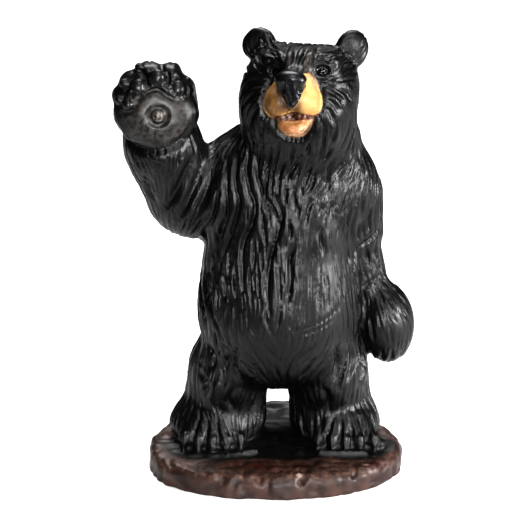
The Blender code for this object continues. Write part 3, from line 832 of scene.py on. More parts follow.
@dataclass
class Head:
    """The skull, ears, eyes, muzzle and jaw, in the head's own frame.

    Eyes give x, z and a radius. Furrows lie on the brow, round the eyes and on the nose, and edges
    round the lips and the jaw.
    """

    centre: Triple = (7.6, -2.0, 107.0)
    pitch: float = math.radians(18.0)
    yaw: float = math.radians(10.0)
    ear_left: tuple[Triple, Triple, Triple] = ((-13.1, 2.4, 12.7), (4.7, 2.3, 4.6), (0, -10, -12))
    ear_right: tuple[Triple, Triple, Triple] = ((12.2, 2.4, 12.5), (4.4, 2.5, 5.4), (0, 14, 22))
    teeth: Path = ((-2.9, -7.0), (-1.4, -6.7), (1.4, -6.3), (2.9, -6.6))
    eyes: tuple[Triple, ...] = ((-5.9, 5.4, 1.05), (6.1, 6.1, 1.1))
    nostrils: Path = ((-2.5, 0.3), (1.9, 0.3))
    furrow: Groove = (0.45, 0.55)
    furrows: tuple[Path, ...] = (
        ((-1.3, 12.2), (-1.2, 10.2), (-1.1, 8.6), (-1.5, 6.9)),
        ((1.4, 12.2), (1.1, 10.2), (0.6, 8.6), (0.3, 7.0)),
        ((-4.3, 12.8), (-3.9, 10.4), (-3.7, 8.2), (-3.9, 6.8)), ((3.9, 12.4), (4.2, 10.4), (3.8, 8.4)),
        ((-9.0, 7.0), (-7.4, 8.0), (-5.4, 8.2), (-4.2, 7.2)),
        ((4.0, 7.8), (5.4, 8.9), (7.4, 8.9), (9.2, 7.4)), ((-8.6, 3.4), (-6.9, 2.9), (-5.2, 3.6)),
        ((4.4, 4.4), (6.0, 3.4), (8.0, 3.6), (9.6, 4.6)), ((5.2, 2.8), (6.8, 2.0), (8.6, 2.4)),
        ((-9.2, 10.8), (-7.6, 9.8), (-5.6, 9.6)), ((-0.8, 2.8), (-0.3, 0.6), (0.0, -2.8)),
        ((1.0, 2.2), (1.5, 1.4), (1.9, 0.4)), ((-2.0, 2.2), (-2.3, 1.4), (-2.5, 0.4)),
    )
    edge: Groove = (0.6, 0.6)
    edges: tuple[Path, ...] = (
        ((-6.2, 4.0), (-7.9, 1.6), (-9.0, -1.6), (-9.2, -4.4), (-8.2, -6.9)),
        ((3.8, 5.4), (5.4, 3.2), (6.7, 0.2), (7.0, -3.0), (6.2, -5.6)),
        (
            (-5.6, -7.0), (-5.0, -8.8), (-3.9, -10.9), (-1.4, -12.1), (1.4, -11.9), (3.3, -10.5), (4.5, -8.2),
            (5.0, -6.2),
        ),
    )
    cheek_gap: Groove = (0.55, 0.6)
    cheek_gaps: tuple[Path, ...] = (
        ((8.6, 0.6), (10.6, -0.2), (12.2, -1.8)), ((8.2, -1.6), (9.8, -2.6), (11.0, -4.4)),
        ((8.0, -3.6), (9.2, -5.2), (10.0, -7.4)), ((10.8, 1.6), (12.6, 0.6), (13.6, -1.2)),
        ((-9.8, 1.6), (-12.6, 1.2), (-15.2, -0.8), (-16.0, -3.4)),
        ((-10.4, -1.0), (-12.8, -1.8), (-14.8, -4.4), (-15.2, -7.6)),
        ((-10.2, -4.4), (-12.0, -6.4), (-12.8, -9.4)), ((-12.0, 4.4), (-14.4, 3.4), (-16.0, 1.2)),
    )

    @property
    def home(self) -> Matrix:
        """Places the head's own axes: x to the viewer's right, -y out of the face, z up."""
        turned = Euler((0, 0, -self.yaw)).to_matrix() @ Euler((-self.pitch, 0, 0)).to_matrix()
        return Matrix.Translation(self.centre) @ turned.to_4x4()

    def lumps(self) -> list[Lump]:
        """Makes the skull, the muzzle with its lips, nose leather and jaw, and the ears as thick discs.

        Returns:
            The lumps of clay.
        """
        skull = (
            Egg((-0.6, 3.0, 2.2), (14.0, 12.6, 11.3), blend=4),
            Egg((-8.0, 2.0, 5.0), (7.2, 9.0, 8.4), blend=3),
            Egg((6.6, 2.0, 5.0), (7.2, 9.0, 8.0), blend=3),
            Egg((-8.8, -0.3, -2.6), (8.3, 10.3, 10.2), blend=4),
            Egg((5.9, -0.3, -2.4), (8.3, 10.3, 10.4), blend=4),
            Egg((-0.9, 3.5, -9.5), (13.8, 12.0, 9.0), blend=6),
            Egg((0, -5.2, 6.2), (9.4, 6.0, 5.4), blend=3.5),
            Limb((-3.4, -9.4, 8.4), (-8.6, -7.4, 8.2), 1.2, 1.5, blend=3),
            Limb((3.2, -9.4, 8.6), (8.6, -7.4, 8.6), 1.2, 1.5, blend=3),
        )
        muzzle = (
            Limb((-0.4, -8.0, 3.4), (-0.7, -17.0, 1.6), 4.5, 3.5, blend=2.5),
            Egg((-4.3, -12.6, -3.0), (3.7, 6.2, 4.1), (0, -10, 6), blend=0.9),
            Limb((-3.2, -11.6, 1.4), (-4.5, -13.0, -2.8), 3.0, 3.6, blend=1.0),
            Egg((2.5, -12.6, -2.2), (3.5, 6.2, 3.7), (0, 8, -6), blend=0.9),
            Limb((1.5, -11.6, 2.3), (2.6, -13.0, -2.0), 3.0, 3.5, blend=1.0),
            Egg((-0.7, -18.3, 3.1), (4.35, 3.3, 2.5), (-8, 0, 0), blend=0.7),
            Limb((-0.6, -17.6, 1.5), (0.1, -17.4, -3.0), 3.4, 1.6, blend=0.5),
            Egg((-0.4, -10.6, -7.9), (4.5, 6.2, 3.0), (28, 0, 0), blend=0.8),
        )
        ears = (Egg(*ear, blend=1.2) for ear in (self.ear_left, self.ear_right))
        return put_in(self.home, (*skull, *muzzle, *ears))

    def carve(self, clay: Clay) -> None:
        """Carves the face: ear cups, eyes, nostrils, mouth, and the creases of brow and cheeks.

        Args:
            clay: The form.
        """
        home = self.home
        for (x, _, z), (wide, _, high), turn in (self.ear_left, self.ear_right):
            middle = (x, clay.front(home, x, z), z - 0.2)
            clay.hollows.append(Egg(middle, (wide * 0.7, 0.9, high * 0.7), turn, blend=0.8, home=home))
        for x, z, r in self.eyes:
            clay.hollows.append(clay.egg_on(home, x * 1.05, z + 0.1, (r + 0.7, 2.6, r + 0.35), 0.5, 0.5))
            clay.beads.append(clay.egg_on(home, x, z, (r, r, r), r * 1.45, 0.1))
        clay.hollows += [clay.egg_on(home, x, z, (0.85, 1.1, 0.95), 0.1, 0.4) for x, z in self.nostrils]
        lip = Egg((-0.2, -13.6, -6.0), (3.8, 3.6, 1.1), (10, 0, 0), blend=0.5)
        throat = Egg((-0.4, -12.4, -5.8), (3.8, 5.1, 2.0), (28, 0, 0), blend=0.4)
        tongue = Egg((-0.4, -12.0, -7.7), (3.1, 4.3, 0.9), (28, 0, 0), blend=0.4)
        teeth = (Egg((x, -13.9, z), (0.5, 0.6, 0.6), blend=0.5) for x, z in self.teeth)
        clay.hollows += put_in(home, (lip, throat))
        clay.beads += put_in(home, (tongue, *teeth))
        clay.creases(home, self.furrows, self.furrow)
        clay.creases(home, self.edges, self.edge)
        clay.creases(home, self.cheek_gaps, self.cheek_gap)


@dataclass(frozen=True)
class Strokes:
    """One size of groove, drawn along the coat at even distances."""

    apart: float
    longest: float
    depth: float
    width: float
    tries: int
    seed: int


@dataclass
class Coat:
    """The combed coat: which way the hair runs, and how deep and how far apart it is parted.

    The tables give places and the way the hair runs there, on the body in the figure's frame and
    on the head in its own. The cheeks' entries stand for both sides.
    """

    locks: Strokes = Strokes(1.9, 34.0, 1.15, 0.42, 3600, 11)
    strands: Strokes = Strokes(0.9, 12.0, 0.36, 0.24, 10000, 12)
    step: float = 0.7
    wander: float = 0.34
    wander_mm: float = 9.0
    uneven: float = 0.45
    uneven_mm: float = 5.0
    even_within: float = 3.0
    fewest_steps: int = 5
    shortest: float = 0.25
    faintest: float = 0.4
    body_flow: tuple[tuple[Triple, Triple], ...] = (
        ((0, -17, 45), (0, 0, -1)), ((-12, -14, 76), (0.12, 0, -1)), ((-15, -12, 60), (0.06, 0, -1)),
        ((-20, -6, 45), (0.12, 0, -1)), ((-13, -13, 33), (0.6, 0.1, -0.85)),
        ((13, -13, 33), (-0.5, 0.1, -0.9)), ((18, -8, 45), (-0.06, 0, -1)), ((12, -12, 75), (-0.12, 0, -1)),
        ((3, -12, 88), (0.05, -0.1, -1)), ((17, -7, 87), (-0.55, 0, -0.85)), ((20, -5, 62), (0, 0, -1)),
        ((0, 20, 80), (0, 0.1, -1)), ((-15, 14, 60), (0.1, 0, -1)), ((15, 14, 60), (-0.1, 0, -1)),
        ((0, 21, 45), (0, 0, -1)), ((0, 18, 95), (0, 0.3, -1)), ((-15, -10, 24), (-0.1, -0.1, -1)),
        ((-24, 3, 24), (-0.25, 0, -1)), ((-15, 15, 20), (0, 0.1, -1)), ((15, -10, 24), (0.1, -0.1, -1)),
        ((25, 3, 24), (0.25, 0, -1)), ((15, 15, 20), (0, 0.1, -1)), ((-17, -10, 13), (0, -0.6, -0.8)),
        ((20, -10, 13), (0, -0.6, -0.8)), ((-29, 0, 10), (-0.3, -0.3, -0.9)),
        ((30, 0, 10), (0.3, -0.3, -0.9)), ((-16, -6, 84), (-0.25, 0, -1)),
        ((-21, -6, 77), (-0.45, 0, -0.9)), ((-28, -6, 72), (-0.45, 0, -0.9)),
        ((-29, -9, 86), (-0.05, 0, -1)), ((-40, 1, 88), (0.3, 0, -1)), ((-20, 1, 93), (0.05, 0, -1)),
        ((-30, 11, 88), (0, 0, -1)), ((-24, 15, 74), (-0.4, 0, -0.9)), ((-32, 6, 106), (0, 0.1, -1)),
        ((28, 0, 76), (0.1, 0, -1)), ((30, 5, 62), (0.1, 0, -1)), ((28, -2, 50), (0.3, 0, -1)),
        ((33, -6, 40), (0.15, 0, -1)), ((38, 4, 42), (0.1, 0, -1)), ((31, -3, 29), (-0.15, 0.2, -1)),
    )
    head_flow: tuple[tuple[Triple, Triple], ...] = (
        ((0, -9, 9), (0, 0.4, 1)), ((0, 2, 13.5), (0, 1, 0)), ((0, 15, 2), (0, 0.2, -1)),
        ((0, -7, -14), (0, 0.1, -1)),
    )
    cheek_flow: tuple[tuple[Triple, Triple], ...] = (
        ((13, -5, -2), (0.55, 0.6, -0.6)), ((15, 0, -7), (0.25, 0.3, -1)), ((9, -9, 1), (0.9, 0.4, -0.25)),
        ((11, -6, 7), (0.6, 0.5, 0.5)), ((8, -6, -12), (0.2, 0.1, -1)), ((14, 8, -2), (0.2, 0.8, -0.8)),
        ((13, 3, 15), (0.3, 0.2, 1)),
    )

    def guides(self, home: Matrix) -> tuple[np.ndarray, np.ndarray]:
        """All the combing directions in the figure's frame.

        Args:
            home: The head's frame.

        Returns:
            The places, and the unit directions there.
        """
        local = list(self.head_flow)
        for (x, y, z), (dx, dy, dz) in self.cheek_flow:
            local += [((x, y, z), (dx, dy, dz)), ((-x, y, z), (-dx, dy, dz))]
        pairs = [(Vector(place), Vector(way)) for place, way in self.body_flow]
        pairs += [(home @ Vector(place), home.to_3x3() @ Vector(way)) for place, way in local]
        places = np.array([place for place, _way in pairs])
        return places, np.array([way.normalized() for _place, way in pairs])

    def flow(self, points: np.ndarray, normals: np.ndarray, home: Matrix) -> np.ndarray:
        """Finds the combed direction at each point, laid flat on the surface.

        Args:
            points: Places on the surface, one a row.
            normals: The outward direction at each.
            home: The head's frame.

        Returns:
            Unit directions, one a row.
        """
        total = np.zeros_like(points)
        for place, way in zip(*self.guides(home)):
            gap = ((points - place) ** 2).sum(axis=1) + self.even_within**2
            total += way / (gap * gap)[:, None]
        total -= (total * normals).sum(axis=1, keepdims=True) * normals
        total /= np.maximum(np.linalg.norm(total, axis=1, keepdims=True), 1e-12)
        swing = self.wander * cloud(points, self.wander_mm, 3)[:, None]
        return np.cos(swing) * total + np.sin(swing) * np.cross(normals, total)

    def trace(self, clay: Clay, home: Matrix, starts: np.ndarray, steps: int) -> np.ndarray:
        """Follows the combed direction over the surface, both ways from each start.

        Args:
            clay: The form.
            home: The head's frame.
            starts: Places on the surface, one a row.
            steps: How many steps are taken each way.

        Returns:
            The places, by step, by start, by axis.
        """
        halves = []
        for sign in (-1, 1):
            here = starts
            half = []
            for _ in range(steps):
                normals = clay.slope(here, plain=True)
                here = here + sign * self.step * self.flow(here, normals, home)
                here = here - clay.distance(here, plain=True)[:, None] * normals
                half.append(here)
            halves.append(half)
        return np.array([*halves[0][::-1], starts, *halves[1]])

    def draw(
        self, clay: Clay, home: Matrix, starts: np.ndarray, strokes: Strokes, taken: list[Line]
    ) -> list[Line]:
        """Draws strokes at even distances, each as long as the free room lets it be.

        Args:
            clay: The form.
            home: The head's frame.
            starts: Places in the coat to start from.
            strokes: The strokes' size and distance.
            taken: Lines that the strokes keep clear of.

        Returns:
            The drawn lines.
        """
        random = np.random.default_rng(strokes.seed)
        starts = starts[random.choice(len(starts), strokes.tries, replace=False)]
        most = int(strokes.longest / self.step / 2)
        traced = self.trace(clay, home, starts, most)
        share = 1 + self.uneven * cloud(starts, self.uneven_mm, strokes.seed)
        size = strokes.apart * (1 + self.uneven)
        grid: dict[tuple, list[np.ndarray]] = {}

        def occupy(places: np.ndarray) -> None:
            """Marks places as drawn on."""
            for cell, place in zip(map(tuple, np.floor(places / size).astype(int)), places):
                grid.setdefault(cell, []).append(place)

        def free(place: np.ndarray, apart: float) -> bool:
            """Tells whether no drawn line lies too near a place.

            Args:
                place: The place.
                apart: How near is too near.

            Returns:
                Whether the place is free.
            """
            i, j, k = np.floor(place / size).astype(int)
            cells = ((i + a, j + b, k + c) for a in (-1, 0, 1) for b in (-1, 0, 1) for c in (-1, 0, 1))
            near = [other for cell in cells for other in grid.get(cell, ())]
            return not near or ((np.array(near) - place) ** 2).sum(axis=1).min() > apart**2

        for line in taken:
            occupy(line.places)
        drawn = []
        for n in range(strokes.tries):
            reach = int(most * random.uniform(self.shortest, 1.0))
            apart = strokes.apart * share[n]
            if not free(traced[most, n], apart):
                continue
            low = high = most
            while low > most - reach and free(traced[low - 1, n], apart):
                low -= 1
            while high < most + reach and free(traced[high + 1, n], apart):
                high += 1
            places = traced[low : high + 1, n]
            if len(places) > self.fewest_steps:
                occupy(places)
                bold = random.uniform(self.faintest, 1.0) * share[n]
                drawn.append(Line.tapered(places, strokes.width * math.sqrt(bold), strokes.depth * bold))
        return drawn


def cloud(points: np.ndarray, cell: float, seed: int) -> np.ndarray:
    """Gives smooth random values from -1 to 1.

    Args:
        points: Places, one a row.
        cell: Over how far the values change.
        seed: Picks one pattern.

    Returns:
        One value a point.
    """
    size = 64
    grid = np.random.default_rng(seed).uniform(-1, 1, (size, size, size))
    scaled = points / cell + size / 2
    corner = np.floor(scaled).astype(int)
    part = scaled - corner
    part = part * part * (3 - 2 * part)
    total = np.zeros(len(points))
    for backwards in np.ndindex(2, 2, 2):
        step = backwards[::-1]
        picks = (corner + step) % size
        share = np.prod(np.where(step, part, 1 - part), axis=1)
        total += grid[picks[:, 0], picks[:, 1], picks[:, 2]] * share
    return total


def points_of(mesh: Mesh) -> np.ndarray:
    """Reads the mesh's points.

    Args:
        mesh: The mesh.

    Returns:
        Its points, one a row.
    """
    points = np.empty(len(mesh.vertices) * 3, np.float32)
    mesh.vertices.foreach_get("co", points)
    return points.reshape(-1, 3).astype(float)


def set_points(mesh: Mesh, points: np.ndarray) -> None:
    """Puts the mesh's points where the rows say."""
    mesh.vertices.foreach_set("co", points.astype(np.float32).ravel())
    mesh.update()


def store(mesh: Mesh, mask: Mask, values: np.ndarray) -> None:
    """Keeps one number a point on the mesh, under the mask's name."""
    layer = mesh.attributes.get(mask.value) or mesh.attributes.new(mask.value, "FLOAT", "POINT")
    layer.data.foreach_set("value", values.astype(np.float32))


def add_object(name: str, data: bpy.types.ID) -> Thing:
    """Makes an object of a mesh, a light or a camera, and puts it in the scene.

    Args:
        name: The object's name.
        data: What it shows.

    Returns:
        The object.
    """
    made = bpy.data.objects.new(name, data)
    bpy.context.scene.collection.objects.link(made)
    return made


def mesh_of(name: str, shape: bmesh.types.BMesh) -> Mesh:
    """Makes a mesh of a rough shape, which is given up.

    Args:
        name: The mesh's name.
        shape: The rough shape.

    Returns:
        The mesh.
    """
    mesh = bpy.data.meshes.new(name)
    shape.to_mesh(mesh)
    shape.free()
    return mesh


def bake_modifiers(obj: Thing) -> None:
    """Turns the result of the object's modifiers into its plain mesh.

    Args:
        obj: The object.
    """
    bpy.context.view_layer.update()
    graph = bpy.context.evaluated_depsgraph_get()
    obj.data = bpy.data.meshes.new_from_object(obj.evaluated_get(graph))
    obj.modifiers.clear()
    bpy.context.view_layer.update()


def modified(obj: Thing, kind: str, **settings: object) -> None:
    """Applies one modifier to the object's mesh.

    Args:
        obj: The object.
        kind: The modifier's type.
        settings: The modifier's own properties.
    """
    modifier = obj.modifiers.new(kind.lower(), kind)
    for name, value in settings.items():
        setattr(modifier, name, value)
    bake_modifiers(obj)


def add_node(tree: Tree, kind: str, inputs: dict | None = None, **settings: object) -> Node:
    """Adds a node to a tree, with its settings and its links.

    Args:
        tree: The tree that gets the node.
        kind: The node's type.
        inputs: Values for the node's inputs, by name or number, or else sockets or nodes to link. A
            node stands for its first output.
        settings: The node's own properties.

    Returns:
        The new node.
    """
    node = tree.nodes.new(kind)
    for name, value in settings.items():
        setattr(node, name, value)
    for key, value in (inputs or {}).items():
        if isinstance(value, Node):
            value = value.outputs[0]
        if isinstance(value, Socket):
            tree.links.new(value, node.inputs[key])
        else:
            node.inputs[key].default_value = value
    return node


def linear(colour: str) -> tuple[float, float, float, float]:
    """Turns an sRGB hex colour into linear values.

    Args:
        colour: The colour, as #rrggbb.

    Returns:
        Linear red, green and blue, and full opacity.
    """
    parts = [int(colour[k : k + 2], 16) / 255 for k in (1, 3, 5)]
    red, green, blue = (p / 12.92 if p <= 0.04045 else ((p + 0.055) / 1.055) ** 2.4 for p in parts)
    return red, green, blue, 1.0


@dataclass(frozen=True)
class Paint:
    """One brushed-on paint: two close tones, how large their patches are, and its gloss."""

    tone: str
    second: str
    patch_mm: float
    roughness: float
    edge_mm: float = 0.12
    wobble_mm: float = 0.25


# The brushed layers, from the first to the last.
LAYERS: dict[Mask, Paint] = {
    # Dry-brushed grey on the palm, which is partly a painted sheen.
    Mask.PALM: Paint("#3f3c3a", "#1c1a19", 1.3, 0.38, 2.4, 1.2),
    Mask.PADS: Paint("#232325", "#141415", 2.0, 0.33, 0.3, 0.1),
    Mask.PALM_BEAD: Paint("#2e2927", "#6f6863", 0.7, 0.38, 0.3, 0.1),
    # Grey-brown rub on the brow, which is partly a painted highlight.
    Mask.BROW_RUB: Paint("#4d443e", "#0c0a0a", 0.8, 0.42, 0.9, 1.1),
    Mask.MUZZLE: Paint("#a78452", "#bd9a66", 3.2, 0.50, 0.15, 0.2),
    # Darker amber on the left lobe: its paint, and painted shade on the side away from the light.
    Mask.MUZZLE_AMBER: Paint("#6e4f29", "#86653a", 2.4, 0.48, 1.6, 0.4),
    Mask.MUZZLE_SHADE: Paint("#3d271c", "#463023", 1.5, 0.46, 1.3, 0.3),
    Mask.JAW: Paint("#90623f", "#a8805a", 2.2, 0.44, 0.15, 0.15),
    # Pale rims of the lips and lobes, which are partly painted highlights.
    Mask.LIP_RIM: Paint("#b39478", "#9c7556", 0.8, 0.33, 0.45, 0.15),
    # The mouth's dark paint, and painted shade under the lips and along the jaw's crease.
    Mask.MOUTH: Paint("#2c1510", "#5c3626", 0.9, 0.34, 0.3, 0.1),
    Mask.TEETH: Paint("#4e372b", "#7c6350", 0.6, 0.4, 0.3, 0.15),
    # Black nose leather, and painted shade in the ring groove round the palm's bead.
    Mask.DARK_SKIN: Paint("#0a0a0c", "#131418", 2.0, 0.34, 0.15, 0.2),
    Mask.EYES: Paint("#080606", "#0d0808", 1.0, 0.14, 0.1, 0.0),
    Mask.EARTH: Paint("#271916", "#433029", 3.5, 0.48, 0.5, 0.6),
    Mask.RED_EARTH: Paint("#3d1a12", "#2e1712", 3.0, 0.36, 3.0, 1.5),
    # A paler band along the mound's front rim: wear, and a painted highlight where the rim catches the light.
    Mask.WORN_EDGE: Paint("#5e483e", "#33221c", 1.2, 0.46, 0.9, 1.3),
    Mask.CHIPS: Paint("#8f7b70", "#66524a", 0.6, 0.5, 0.25, 0.4),
    Mask.SPILL: Paint("#050404", "#0a0807", 3.0, 0.50, 0.8, 1.2),
}


class PaintedResin:
    """Cast polyester resin with brushed acrylic paint under a satin varnish.

    The varnish gives broad, soft highlights on the locks, and the gaps between them stay black.
    Patterns have sizes in millimetres, and those of the hair are stretched along its length.
    """

    name = "satin_painted_polyester_resin"
    ground = Paint("#030303", "#060606", 7.0, 0.40)
    # The lighter tone on the crowns of the locks: rubbing wear and a painted sheen.
    rubbed_tone = "#111011"
    rubbed_mm = 0.9
    brush_mm = 1.6
    hair_mm = 0.45
    grain_mm = 0.55
    tone_span = (0.38, 0.62)
    fur_edge = 0.3
    grain_span = (0.04, 0.3)
    crown_mm = 0.2
    most_rubbed = 0.5
    hair_stretch = (1, 1, 7)
    rubbed_stretch = (1, 1, 6)
    relief_mm = 0.17
    relief_strength = 0.8
    ior = 1.45

    def __init__(self) -> None:
        """Starts the material."""
        self.material = bpy.data.materials.new(self.name)
        self.material.use_nodes = True
        self.add = partial(add_node, self.material.node_tree)

    def noise(self, mm: float, detail: float = 3.0, stretch: Triple = (1, 1, 1)) -> Node:
        """Makes a random pattern with features of the given size.

        Args:
            mm: The features' size in millimetres.
            detail: How many finer layers the pattern has.
            stretch: How many times longer the features are along each axis.

        Returns:
            The pattern's node, with values around one half.
        """
        place = self.add("ShaderNodeTexCoord").outputs["Object"]
        drawn = self.add("ShaderNodeMapping", {"Vector": place, "Scale": tuple(1 / s for s in stretch)})
        return self.add("ShaderNodeTexNoise", {"Vector": drawn, "Scale": 1 / (mm * MM), "Detail": detail})

    def stored(self, mask: Mask) -> Socket:
        """The number that each point keeps for an area."""
        return self.add("ShaderNodeAttribute", attribute_name=mask.value).outputs["Fac"]

    def tones(self, paint: Paint) -> Socket:
        """Mixes a paint's colour, which wanders between its two tones.

        Args:
            paint: The paint.

        Returns:
            The colour.
        """
        low, high = self.tone_span
        share = self.add("ShaderNodeMapRange", {0: self.noise(paint.patch_mm), 1: low, 2: high})
        mix = {0: share, 6: linear(paint.tone), 7: linear(paint.second)}
        return self.add("ShaderNodeMix", mix, data_type="RGBA").outputs[2]

    def cover(self, mask: Mask, paint: Paint) -> Node:
        """Finds how fully a layer covers, from its stored distance and a brush's wobble.

        Args:
            mask: The layer's area.
            paint: The layer's paint.

        Returns:
            The node that gives a share from zero to one.
        """
        wobble = {0: self.noise(self.brush_mm), 1: 2 * paint.wobble_mm, 2: -paint.wobble_mm}
        wobble = self.add("ShaderNodeMath", wobble, operation="MULTIPLY_ADD")
        inside = self.add("ShaderNodeMath", {0: self.stored(mask), 1: wobble}, operation="ADD")
        edge = {0: inside, 1: -paint.edge_mm, 2: paint.edge_mm}
        return self.add("ShaderNodeMapRange", edge, interpolation_type="SMOOTHSTEP")

    def relief(self) -> Node:
        """Makes the finest relief: thin hair strokes and the paint's own grain.

        Returns:
            The bump node.
        """
        fur = self.stored(Mask.COAT)
        least, most = self.grain_span
        share = self.add("ShaderNodeMapRange", {0: fur, 2: self.fur_edge, 3: least, 4: most})
        grain = {0: self.noise(self.grain_mm, 2.0), 1: share}
        grain = self.add("ShaderNodeMath", grain, operation="MULTIPLY")
        height = {0: self.noise(self.hair_mm, 2.0, self.hair_stretch), 1: fur, 2: grain}
        height = self.add("ShaderNodeMath", height, operation="MULTIPLY_ADD")
        bump = {"Height": height, "Distance": self.relief_mm * MM, "Strength": self.relief_strength}
        return self.add("ShaderNodeBump", bump)

    def rubbed(self, colour: Socket) -> Socket:
        """Lightens the crowns of the locks: wear where hands rub them, and a painted sheen where light
        catches them.

        Args:
            colour: The ground's colour.

        Returns:
            The colour with its lightened crowns.
        """
        crown = {0: self.stored(Mask.LOCKS), 1: self.noise(self.rubbed_mm, 3.0, self.rubbed_stretch)}
        crown = self.add("ShaderNodeMath", crown, operation="MULTIPLY")
        share = self.add("ShaderNodeMapRange", {0: crown, 2: self.crown_mm, 4: self.most_rubbed})
        mix = {0: share, 6: colour, 7: linear(self.rubbed_tone)}
        return self.add("ShaderNodeMix", mix, data_type="RGBA").outputs[2]

    def build(self) -> bpy.types.Material:
        """Lays the ground first and the brushed layers over it.

        Returns:
            The material.
        """
        surface = self.material.node_tree.nodes["Principled BSDF"]
        colour = self.rubbed(self.tones(self.ground))
        rough: Node | float = self.ground.roughness
        for mask, paint in LAYERS.items():
            share = self.cover(mask, paint)
            mix = {0: share, 6: colour, 7: self.tones(paint)}
            colour = self.add("ShaderNodeMix", mix, data_type="RGBA").outputs[2]
            rough = self.add("ShaderNodeMix", {0: share, 2: rough, 3: paint.roughness})
        links = self.material.node_tree.links
        links.new(colour, surface.inputs["Base Color"])
        links.new(rough.outputs[0], surface.inputs["Roughness"])
        links.new(self.relief().outputs[0], surface.inputs["Normal"])
        surface.inputs["Metallic"].default_value = 0.0
        surface.inputs["IOR"].default_value = self.ior
        return self.material


@dataclass(frozen=True)
class Comb:
    """A Geometry Nodes tree that presses drawn lines into the form, and rounds the hair between them.

    The hair rises beside a groove and sinks back further off, both given in half widths of the
    groove. Its height is a share of the groove's depth.
    """

    roundness: float = 0.35
    earth_depth: float = 1.0
    rises: tuple[float, float] = (0.6, 2.6)
    fades: tuple[float, float] = (3.2, 8.0)
    full_strands: float = 0.2
    name: str = "combed_relief"

    def lines_object(self, name: str, lines: list[Line]) -> Thing:
        """Keeps drawn lines as edges, with each place's depth and half width.

        Args:
            name: The kind of line.
            lines: The lines.

        Returns:
            A helper object that holds them.
        """
        mesh = bpy.data.meshes.new(name)
        first = np.cumsum([0] + [len(line.places) for line in lines])
        edges = [(k, k + 1) for start, end in zip(first, first[1:]) for k in range(start, end - 1)]
        mesh.from_pydata(np.concatenate([line.places for line in lines]).tolist(), edges, [])
        for label, values in (
            ("depth", [line.depths for line in lines]),
            ("width", [np.full(len(line.places), line.width) for line in lines]),
        ):
            layer = mesh.attributes.new(label, "FLOAT", "POINT")
            layer.data.foreach_set("value", np.concatenate(values).astype(np.float32))
        return add_object(name, mesh)

    def pressed(self, add: Callable[..., Node], lines: Socket, roundness: Socket) -> Node:
        """Finds how far one kind of line lowers or lifts the surface.

        Args:
            add: Adds a node to the tree.
            lines: The lines' object.
            roundness: How far the hair rises between two grooves.

        Returns:
            The node that gives the height, in millimetres.
        """
        drawn = add("GeometryNodeObjectInfo", {0: lines}).outputs["Geometry"]
        gap = add("GeometryNodeProximity", {0: drawn}, target_element="EDGES").outputs["Distance"]
        found = {"Geometry": drawn, "Index": add("GeometryNodeSampleNearest", {0: drawn})}
        stored = [add("GeometryNodeInputNamedAttribute", {"Name": name}) for name in ("depth", "width")]
        depth, width = (add("GeometryNodeSampleIndex", {**found, "Value": value}) for value in stored)
        away = add("ShaderNodeMath", {0: gap, 1: width}, operation="DIVIDE")
        cut = add("ShaderNodeMath", {0: away, 1: 2.0}, operation="POWER")
        cut = add("ShaderNodeMath", {0: cut, 1: -1.0}, operation="MULTIPLY")
        cut = add("ShaderNodeMath", {0: cut}, operation="EXPONENT")
        rise, fade = (
            add("ShaderNodeMapRange", {0: away, **ends}, interpolation_type="SMOOTHSTEP")
            for ends in (dict(zip((1, 2), self.rises)), {**dict(zip((1, 2), self.fades)), 3: 1.0, 4: 0.0})
        )
        for factor in (fade, roundness):
            rise = add("ShaderNodeMath", {0: rise, 1: factor}, operation="MULTIPLY")
        height = add("ShaderNodeMath", {0: rise, 1: cut}, operation="SUBTRACT")
        return add("ShaderNodeMath", {0: height, 1: depth}, operation="MULTIPLY")

    def tree(self, values: dict[str, object]) -> Tree:
        """Builds the tree, with a named input for each value and for the geometry.

        Args:
            values: What the inputs get later, which says their kinds.

        Returns:
            The tree.
        """
        tree = bpy.data.node_groups.new(self.name, "GeometryNodeTree")
        tree.interface.new_socket("Geometry", in_out="OUTPUT", socket_type="NodeSocketGeometry")
        tree.interface.new_socket("Geometry", in_out="INPUT", socket_type="NodeSocketGeometry")
        for name, value in values.items():
            kind = type(value).__name__.title()
            tree.interface.new_socket(name, in_out="INPUT", socket_type=f"NodeSocket{kind}")
        add = partial(add_node, tree)
        given = add("NodeGroupInput").outputs
        coat, earth = (
            add("GeometryNodeInputNamedAttribute", {"Name": mask.value}, data_type="FLOAT")
            for mask in (Mask.COAT, Mask.EARTH_LUMPS)
        )
        tools, locks, strands = (self.pressed(add, given[kind.value], given["Roundness"]) for kind in Drawn)
        locks = add("ShaderNodeMath", {0: locks, 1: coat}, operation="MULTIPLY")
        lift = add("ShaderNodeMath", {0: tools, 1: locks}, operation="ADD")
        fine = add("ShaderNodeMapRange", {0: coat, 2: self.full_strands})
        for height, share in ((strands, fine), (earth, given["Earth depth"])):
            lift = add("ShaderNodeMath", {0: height, 1: share, 2: lift}, operation="MULTIPLY_ADD")
        kept = {"Geometry": given["Geometry"], "Name": Mask.LOCKS.value, "Value": locks}
        kept = add("GeometryNodeStoreNamedAttribute", kept, data_type="FLOAT", domain="POINT")
        offset = {0: add("GeometryNodeInputNormal"), "Scale": lift}
        offset = add("ShaderNodeVectorMath", offset, operation="SCALE")
        moved = add("GeometryNodeSetPosition", {"Geometry": kept, "Offset": offset})
        real = add("GeometryNodeRealizeInstances", {0: moved})
        dressed = {"Geometry": real, "Material": given["Material"]}
        add("NodeGroupOutput", {0: add("GeometryNodeSetMaterial", dressed)})
        return tree

